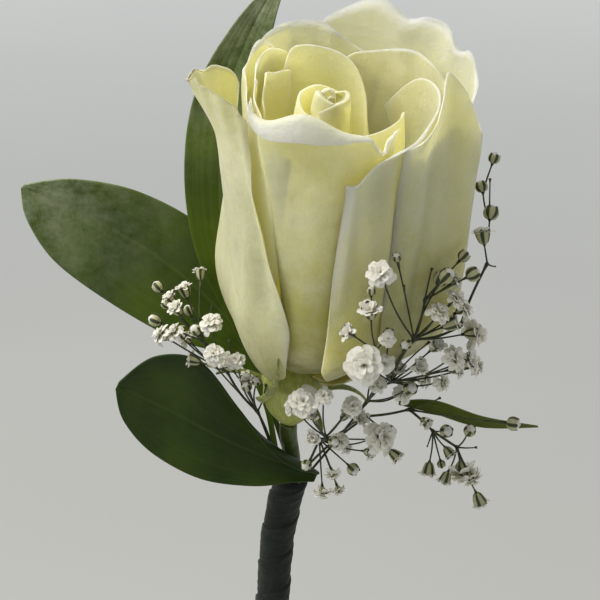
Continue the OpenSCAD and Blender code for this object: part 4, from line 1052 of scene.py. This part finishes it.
# %% What stands between the solids
SPRAYS["spray_left"] += [
    (2, -36, -30, 60, OPEN, 0.62), (3, -38, -24, 69, BELL, 0.6), (1, -17, -38, 53, OPEN, 0.55),
    (1, -14, -30, 44, BELL, 0.5), (2, -30, -34, 62, BUD, 0.8), (3, -33, -19, 64, BUD, 0.8),
    (2, -30, -20, 48, BELL, 0.6), (1, -25, -30, 50, BUD, 0.8), (0, -14, -28, 41, BUD, 0.8),
    (3, -26, -14, 66, BARE, 0.8), (1, -8, -26, 42, BARE, 1), (2, -20, -28, 58, BARE, 1)]
SPRAYS["spray_low"] += [
    (1, 2, -40, 38, OPEN, 0.6), (1, 8, -44, 36, BELL, 0.55), (0, 16, -26, 22, OPEN, 0.6),
    (0, 22, -28, 30, BELL, 0.6), (1, 20, -44, 40, OPEN, 0.6), (0, 25, -30, 20, BELL, 0.5),
    (0, 6, -24, 14, BUD, 0.8), (0, 20, -22, 12, BUD, 0.9), (1, 14, -40, 27, BUD, 0.8),
    (9, 33, -38, 23, BELL, 0.6), (0, 30, -30, 24, BUD, 0.9), (0, 16, -14, 2, OPEN, 0.5)]
SPRAYS["spray_right"] += [
    (1, 30, -62, 60, OPEN, 0.62), (4, 20, -72, 72, BELL, 0.6), (4, 30, -76, 72, OPEN, 0.5),
    (2, 35, -72, 88, BARE, 0.7), (3, 44, -66, 92, BARE, 0.8), (2, 45, -66, 76, OPEN, 0.7),
    (2, 48, -62, 72, BELL, 0.7), (2, 52, -60, 76, OPEN, 0.75), (1, 50, -58, 60, OPEN, 0.8),
    (1, 54, -54, 58, BELL, 0.75), (1, 47, -50, 50, OPEN, 0.6), (1, 40, -54, 56, BELL, 0.6),
    (0, 34, -44, 52, BELL, 0.6), (0, 30, -46, 56, OPEN, 0.55), (0, 38, -44, 46, BUD, 1),
    (1, 36, -60, 64, BARE, 1), (2, 46, -64, 86, BUD, 1), (3, 50, -62, 86, OPEN, 0.5),
    (23, 66, -40, 86, BARE, 0.8), (1, 24, -60, 62, BARE, 0.9), (0, 28, -40, 46, OPEN, 0.6),
    (0, 34, -36, 50, BARE, 1), (1, 44, -58, 66, BARE, 1), (25, 64, -36, 114, BARE, 0.6)]
SPRAYS["spray_lower_right"] += [
    (3, 60, -28, 12, OPEN, 0.7), (3, 53, -28, 12, BELL, 0.6), (2, 52, -26, 20, BELL, 0.55),
    (2, 46, -26, 20, BARE, 0.8), (3, 62, -32, 22, BARE, 0.7), (1, 50, -28, 38, BARE, 0.9),
    (0, 32, -24, 26, BUD, 0.9), (1, 44, -26, 30, BELL, 0.5), (8, 66, -24, -1, BARE, 0.8)]
print("blossoms", sum(row[4] in (OPEN, BELL, BUD) for rows in SPRAYS.values() for row in rows))

# %% [markdown]
# A double flower packs some two dozen petals in whorls: the outer ones lie almost flat, the inner
# ones stand up. Each petal is a tiny spoon with a notched, frilled end. A half-open bell holds
# fewer petals in a green cup of five teeth, and a bud shows only a white tip.

# %% Blossom makers
# Whorls from the outside in: the number of petals, how far they lean from the axis, and their
# length and width in shares of the flower's diameter
FLOWER_WHORLS = [(8, 78, 0.46, 0.25), (8, 58, 0.43, 0.24), (7, 38, 0.38, 0.21), (5, 16, 0.32, 0.18)]
BELL_WHORLS = [(7, 20, 0.62), (6, 9, 0.6), (4, 2, 0.52)]
# Heights and radii of the green cups, in shares of the same diameter
FLOWER_CUP = [(0, 0.03), (0.1, 0.12), (0.24, 0.15), (0.3, 0.17)]
BELL_CUP = [(0, 0.05), (0.08, 0.17), (0.3, 0.25), (0.45, 0.29)]
BUD_CUP = [(0, 0.08), (0.14, 0.36), (0.42, 0.49), (0.68, 0.42)]
TEETH, SPREAD_OPEN, SPOON_CELLS, CUP_ROWS, TIP_CELLS = 5, 1.12, (3, 3), 6, (15, 6)


def facing(at, way):
    """Turns +Z towards a direction and moves there, in millimetres."""
    return Matrix.Translation(at) @ way.to_track_quat("Z", "Y").to_matrix().to_4x4()


def spoon(bm, stand, turn, lean, length, width, foot_up, rng):
    """One frilled petal: it leans from the flower's axis by lean degrees."""
    dish, curl, twist = rng.uniform(0.1, 0.3), rng.uniform(10, 45), rng.uniform(-0.25, 0.25)
    notch, frill = rng.uniform(0.06, 0.2), rng.uniform(0, 6)
    spin = turned(turn, "Z")

    def place(u, v):
        t = 2 * u - 1
        spread = 0.25 + 0.75 * math.sin(min(v * 1.25, 1) * math.pi / 2)
        half = width / 2 * spread * (1 - 0.25 * max(v - 0.8, 0))
        end = length * (v - notch * v ** 3 * math.exp(-(t / 0.28) ** 2) - 0.12 * t * t * v ** 2)
        way, bowl = lean + curl * v * v, dish * t * t * width
        x, z = end * sin(way) - bowl * cos(way), end * cos(way) + bowl * sin(way)
        ripple = math.sin(t * 5 + frill) * 0.07 * width * v * v
        return stand @ (spin @ Vector((
            x + ripple * cos(way) + 0.03 * length, half * t + twist * v * width * 0.4,
            foot_up + z + ripple * sin(way))))

    grid_onto(bm, *SPOON_CELLS, place)


def cup(bm, stand, shares, d, tooth, around=20):
    """A green cup whose rim rises into teeth."""
    rows = [(height * d, radius * d) for height, radius in shares]

    def place(u, v):
        height, radius = between(rows, v * (len(rows) - 1))
        crown = 0.5 + 0.5 * cos((u % 1.0) * 360 * TEETH)
        return stand @ on_ring(u, radius, height + tooth * d * crown * smooth_step((v - 0.7) / 0.3))

    rolled(bm, around, CUP_ROWS, place, cap=False)


def open_flower(green, white, stand, d, rng):
    d *= SPREAD_OPEN
    cup(green, stand, FLOWER_CUP, d, 0.06, around=15)
    for k, (count, lean, length, width) in enumerate(FLOWER_WHORLS):
        for i in range(count):
            turn = 360 * (i + 0.5 * k + rng.uniform(-0.25, 0.25)) / count
            spoon(white, stand, turn, lean + rng.uniform(-14, 12),
                  d * length * rng.uniform(0.8, 1.08), d * width * rng.uniform(0.85, 1.2),
                  d * (0.2 + 0.03 * k), rng)


def bell_flower(green, white, stand, d, rng):
    cup(green, stand, BELL_CUP, d, 0.14)
    for k, (count, lean, length) in enumerate(BELL_WHORLS):
        for i in range(count):
            turn = 360 * (i + 0.5 * k + rng.uniform(-0.2, 0.2)) / count
            spoon(white, stand, turn, lean + rng.uniform(-5, 8), d * length * rng.uniform(0.9, 1.05),
                  d * 0.26, d * 0.16, rng)


def bud_flower(green, white, stand, d, rng):
    cup(green, stand, BUD_CUP, d, 0.16)

    def tip(u, v):
        r = d * (0.44 * math.sqrt(max(1 - v ** 1.8, 0)) + 0.004)
        r *= 1 + 0.08 * cos((u % 1.0) * 360 * TEETH + 200 * v)
        return stand @ on_ring(u, r, d * (0.42 + 0.55 * v))

    rolled(white, *TIP_CELLS, tip)


# %% [markdown]
# The white petals are thin and let light through. The cups are green with pale edges, and the
# stems are dull green to brown.

# %% Finishes of the sprays
frill_white, tree = new_finish("tiny_petal_white")
spot = add(tree, "UVMap", {})
split = add(tree, "SeparateXYZ", {"Vector": spot})
fade = add(tree, "ValToRGB", {"Fac": split.outputs["Y"]})
stops(fade, [(0.0, "#B9B98A"), (0.3, "#DBD9C2"), (0.75, "#EDEBE0")])
# Faint veins, some 0.2 mm apart
pulled = add(tree, "Mapping", {"Vector": spot, "Scale": (9, 1, 1)})
veins = add(tree, "TexNoise", {"Vector": pulled, "Scale": 2.0, "Detail": 2})
streaks = add(tree, "MapRange", {"Value": veins, "From Min": 0.4, "From Max": 0.7, "To Max": 0.25})
veined = add(tree, "Mix", {"Factor": streaks, UNDER: fade, OVER: paint("#C6C3AC")}, data_type="RGBA")
bump = add(tree, "Bump", {"Height": veins, "Strength": 0.3, "Distance": 0.0001})
skin = add(tree, "BsdfPrincipled", {
    "Base Color": veined.outputs[MIXED], "Roughness": 0.6, "Normal": bump, "Subsurface Weight": 0.5,
    "Subsurface Radius": (1, 1, 0.8), "Subsurface Scale": 0.0006, "Specular IOR Level": 0.3})
add(tree, "OutputMaterial", {"Surface": skin})

cup_green, tree = new_finish("bud_cup_striped_green")
spot = add(tree, "UVMap", {})
split = add(tree, "SeparateXYZ", {"Vector": spot})
# A green stripe under each tooth, with pale seams between them
wrap = add(tree, "Math", {0: split.outputs["X"], 1: TEETH * math.tau}, operation="MULTIPLY")
wave = add(tree, "Math", {0: wrap}, operation="COSINE")
stripe = add(tree, "ValToRGB", {"Fac": wave})
stops(stripe, [(0.0, "#A9A983"), (0.3, "#4C5428"), (0.8, "#2C3416")])
skin = add(tree, "BsdfPrincipled", {
    "Base Color": stripe, "Roughness": 0.5, "Subsurface Weight": 0.1,
    "Subsurface Radius": (0.5, 1, 0.3), "Subsurface Scale": 0.0005})
add(tree, "OutputMaterial", {"Surface": skin})
twig_skin = stem_finish("spray_stem_dull_green", "#1F2311", "#454B25", 0.6)
print("spray finishes:", frill_white.name, cup_green.name, twig_skin.name)


# %% Make the sprays
# A twig's diameters at its two ends, by what it carries
TWIG_ENDS, OTHER_ENDS = {FORK: (0.46, 0.42), BARE: (0.32, 0.2)}, (0.32, 0.26)
MAKERS = {OPEN: (open_flower, FLOWER_D), BELL: (bell_flower, FLOWER_D), BUD: (bud_flower, BUD_D)}
# An open flower left of the first measure and in front of the second turns to face the front
TURNS_LEFT_OF, TURNS_BEFORE, OUTWARDS = 20, -29, Vector((0, -6, 1.5))
TWIG_CELLS, TWIG_STEPS, CUP_WALL, FRILL_WALL = (7, 10), 8, 0.08, 0.06


def twig(bm, a, b, thick, thin, rng):
    """A thin stem from a to b that bows a little and swells where it forks."""
    long = (b - a).length
    side = unit((b - a).cross(Vector((0.3, 1, 0.2))))
    bow = side * rng.uniform(-0.05, 0.05) * long + Vector((0, 0, -0.03 * long))
    shares = [i / TWIG_STEPS for i in range(TWIG_STEPS + 1)]
    route = [a.lerp(b, t) + bow * math.sin(math.pi * t) for t in shares]

    def radius(u, v):
        knuckle = 0.16 * math.exp(-(v / 0.05) ** 2) + 0.16 * math.exp(-((1 - v) / 0.05) ** 2)
        return (thick + (thin - thick) * v) / 2 + knuckle * (1 if long > 3 else 0.4)

    rolled(bm, *TWIG_CELLS, tube_place(route, radius))


for name, rows in SPRAYS.items():
    rng = random.Random(name)
    root = tape_spot(*ROOTS[name], SEAT + TWIG_D / 2)
    spots = [wrap_top + SPRAY / 100 * Vector(row[1:4]) for row in rows]
    stems, green, white = bmesh.new(), bmesh.new(), bmesh.new()
    for (parent, *_, kind, size), spot in zip(rows, spots):
        start = root if parent < 0 else spots[parent]
        twig(stems, start, spot, *TWIG_ENDS.get(kind, OTHER_ENDS), rng)
        stand = facing(spot, spot - start) @ Matrix.Rotation(rng.uniform(0, 6), 4, "Z")
        if kind == OPEN and spot.x < TURNS_LEFT_OF and spot.y < TURNS_BEFORE:
            stand = facing(spot, (spot - start) * 0.25 + OUTWARDS)
        if kind in MAKERS:
            make, d = MAKERS[kind]
            make(green, white, stand, d * size, rng)
    finish_piece(stems, name + "_stems", twig_skin, [name])
    finish_piece(green, name + "_cups", cup_green, [name], wall=CUP_WALL)
    finish_piece(white, name + "_frills", frill_white, [name], wall=FRILL_WALL, smoother=1)

# %% [markdown]
# ## Stage and light
# A pale round floor with a raised rim stands under everything, so the flower can be looked at from
# any side. A big soft light from the upper left is the window, a wide one above fills in, and
# the world gives the room's own light.

# %% Floor
# Radius and height of the floor and its raised rim, in metres above its own level
PROFILE = [(0.0, 0.0), (1.2, 0.0), (1.8, 0.03), (2.2, 0.15), (2.4, 0.4), (2.45, 1.0)]
FLOOR_Z, FLOOR_CELLS = -0.14, (96, 40)


def floor_place(u, v):
    r, z = between(PROFILE, v * (len(PROFILE) - 1))
    return Vector((r * math.cos(u * math.tau), r * math.sin(u * math.tau), z + FLOOR_Z)) / MM


bm = bmesh.new()
grid_onto(bm, *FLOOR_CELLS, floor_place)
bmesh.ops.remove_doubles(bm, verts=bm.verts, dist=0.00001)
bmesh.ops.recalc_face_normals(bm, faces=bm.faces)
mesh = bpy.data.meshes.new("floor")
bm.to_mesh(mesh)
bm.free()
floor = put_in_scene("floor", mesh)
print("floor", len(mesh.polygons), "faces")

# %% [markdown]
# The floor is a sheet of pale grey backdrop paper, matt and almost even in colour; painted light
# makes it glow a little more further out.

# %% Floor finish
paper_floor, tree = new_finish("backdrop_paper_grey")
place = add(tree, "TexCoord", {}).outputs["Object"]
fibres = add(tree, "TexNoise", {"Vector": place, "Scale": 3, "Detail": 3})
tone = add(tree, "ValToRGB", {"Fac": fibres})
stops(tone, [(0.3, "#A3A3A0"), (0.7, "#A8A8A5")])
# Painted light: the paper glows a little, more so further out, standing in for the room's light on
# the far part
far = add(tree, "VectorMath", {0: place}, operation="LENGTH")
painted_glow = add(tree, "MapRange", {"Value": far.outputs["Value"], "From Min": 0.3, "From Max": 2.4,
                              "To Min": 0.2, "To Max": 0.57})
skin = add(tree, "BsdfPrincipled", {
    "Base Color": tone, "Roughness": 0.9, "Specular IOR Level": 0.1,
    "Emission Color": paint("#ECF0F1"), "Emission Strength": painted_glow})
add(tree, "OutputMaterial", {"Surface": skin})
mesh.materials.append(paper_floor)
print("floor finished in", paper_floor.name)

# %% Lights
AIM = (0, -0.02, 0.06)


def soft_light(name, at, size, power, colour):
    lamp = bpy.data.lights.new(name, "AREA")
    lamp.shape, lamp.size, lamp.energy, lamp.color = "DISK", size, power, paint(colour)[:3]
    stand = put_in_scene(name, lamp)
    stand.location = at
    stand.rotation_euler = (Vector(AIM) - Vector(at)).to_track_quat("-Z", "Y").to_euler()


soft_light("window", (-0.5, -0.2, 0.62), 0.34, 5.4, "#FFFAF0")
soft_light("ceiling", (-0.15, 0.05, 0.9), 0.6, 3.4, "#FFFDF8")
room = bpy.data.worlds.new("room")
bpy.context.scene.world = room
room.use_nodes = True
room_light = room.node_tree.nodes["Background"].inputs
room_light["Color"].default_value = paint("#EEECE4")
room_light["Strength"].default_value = 0.36
bpy.context.scene.view_settings.view_transform = "Standard"
print("lights", len(bpy.data.lights))
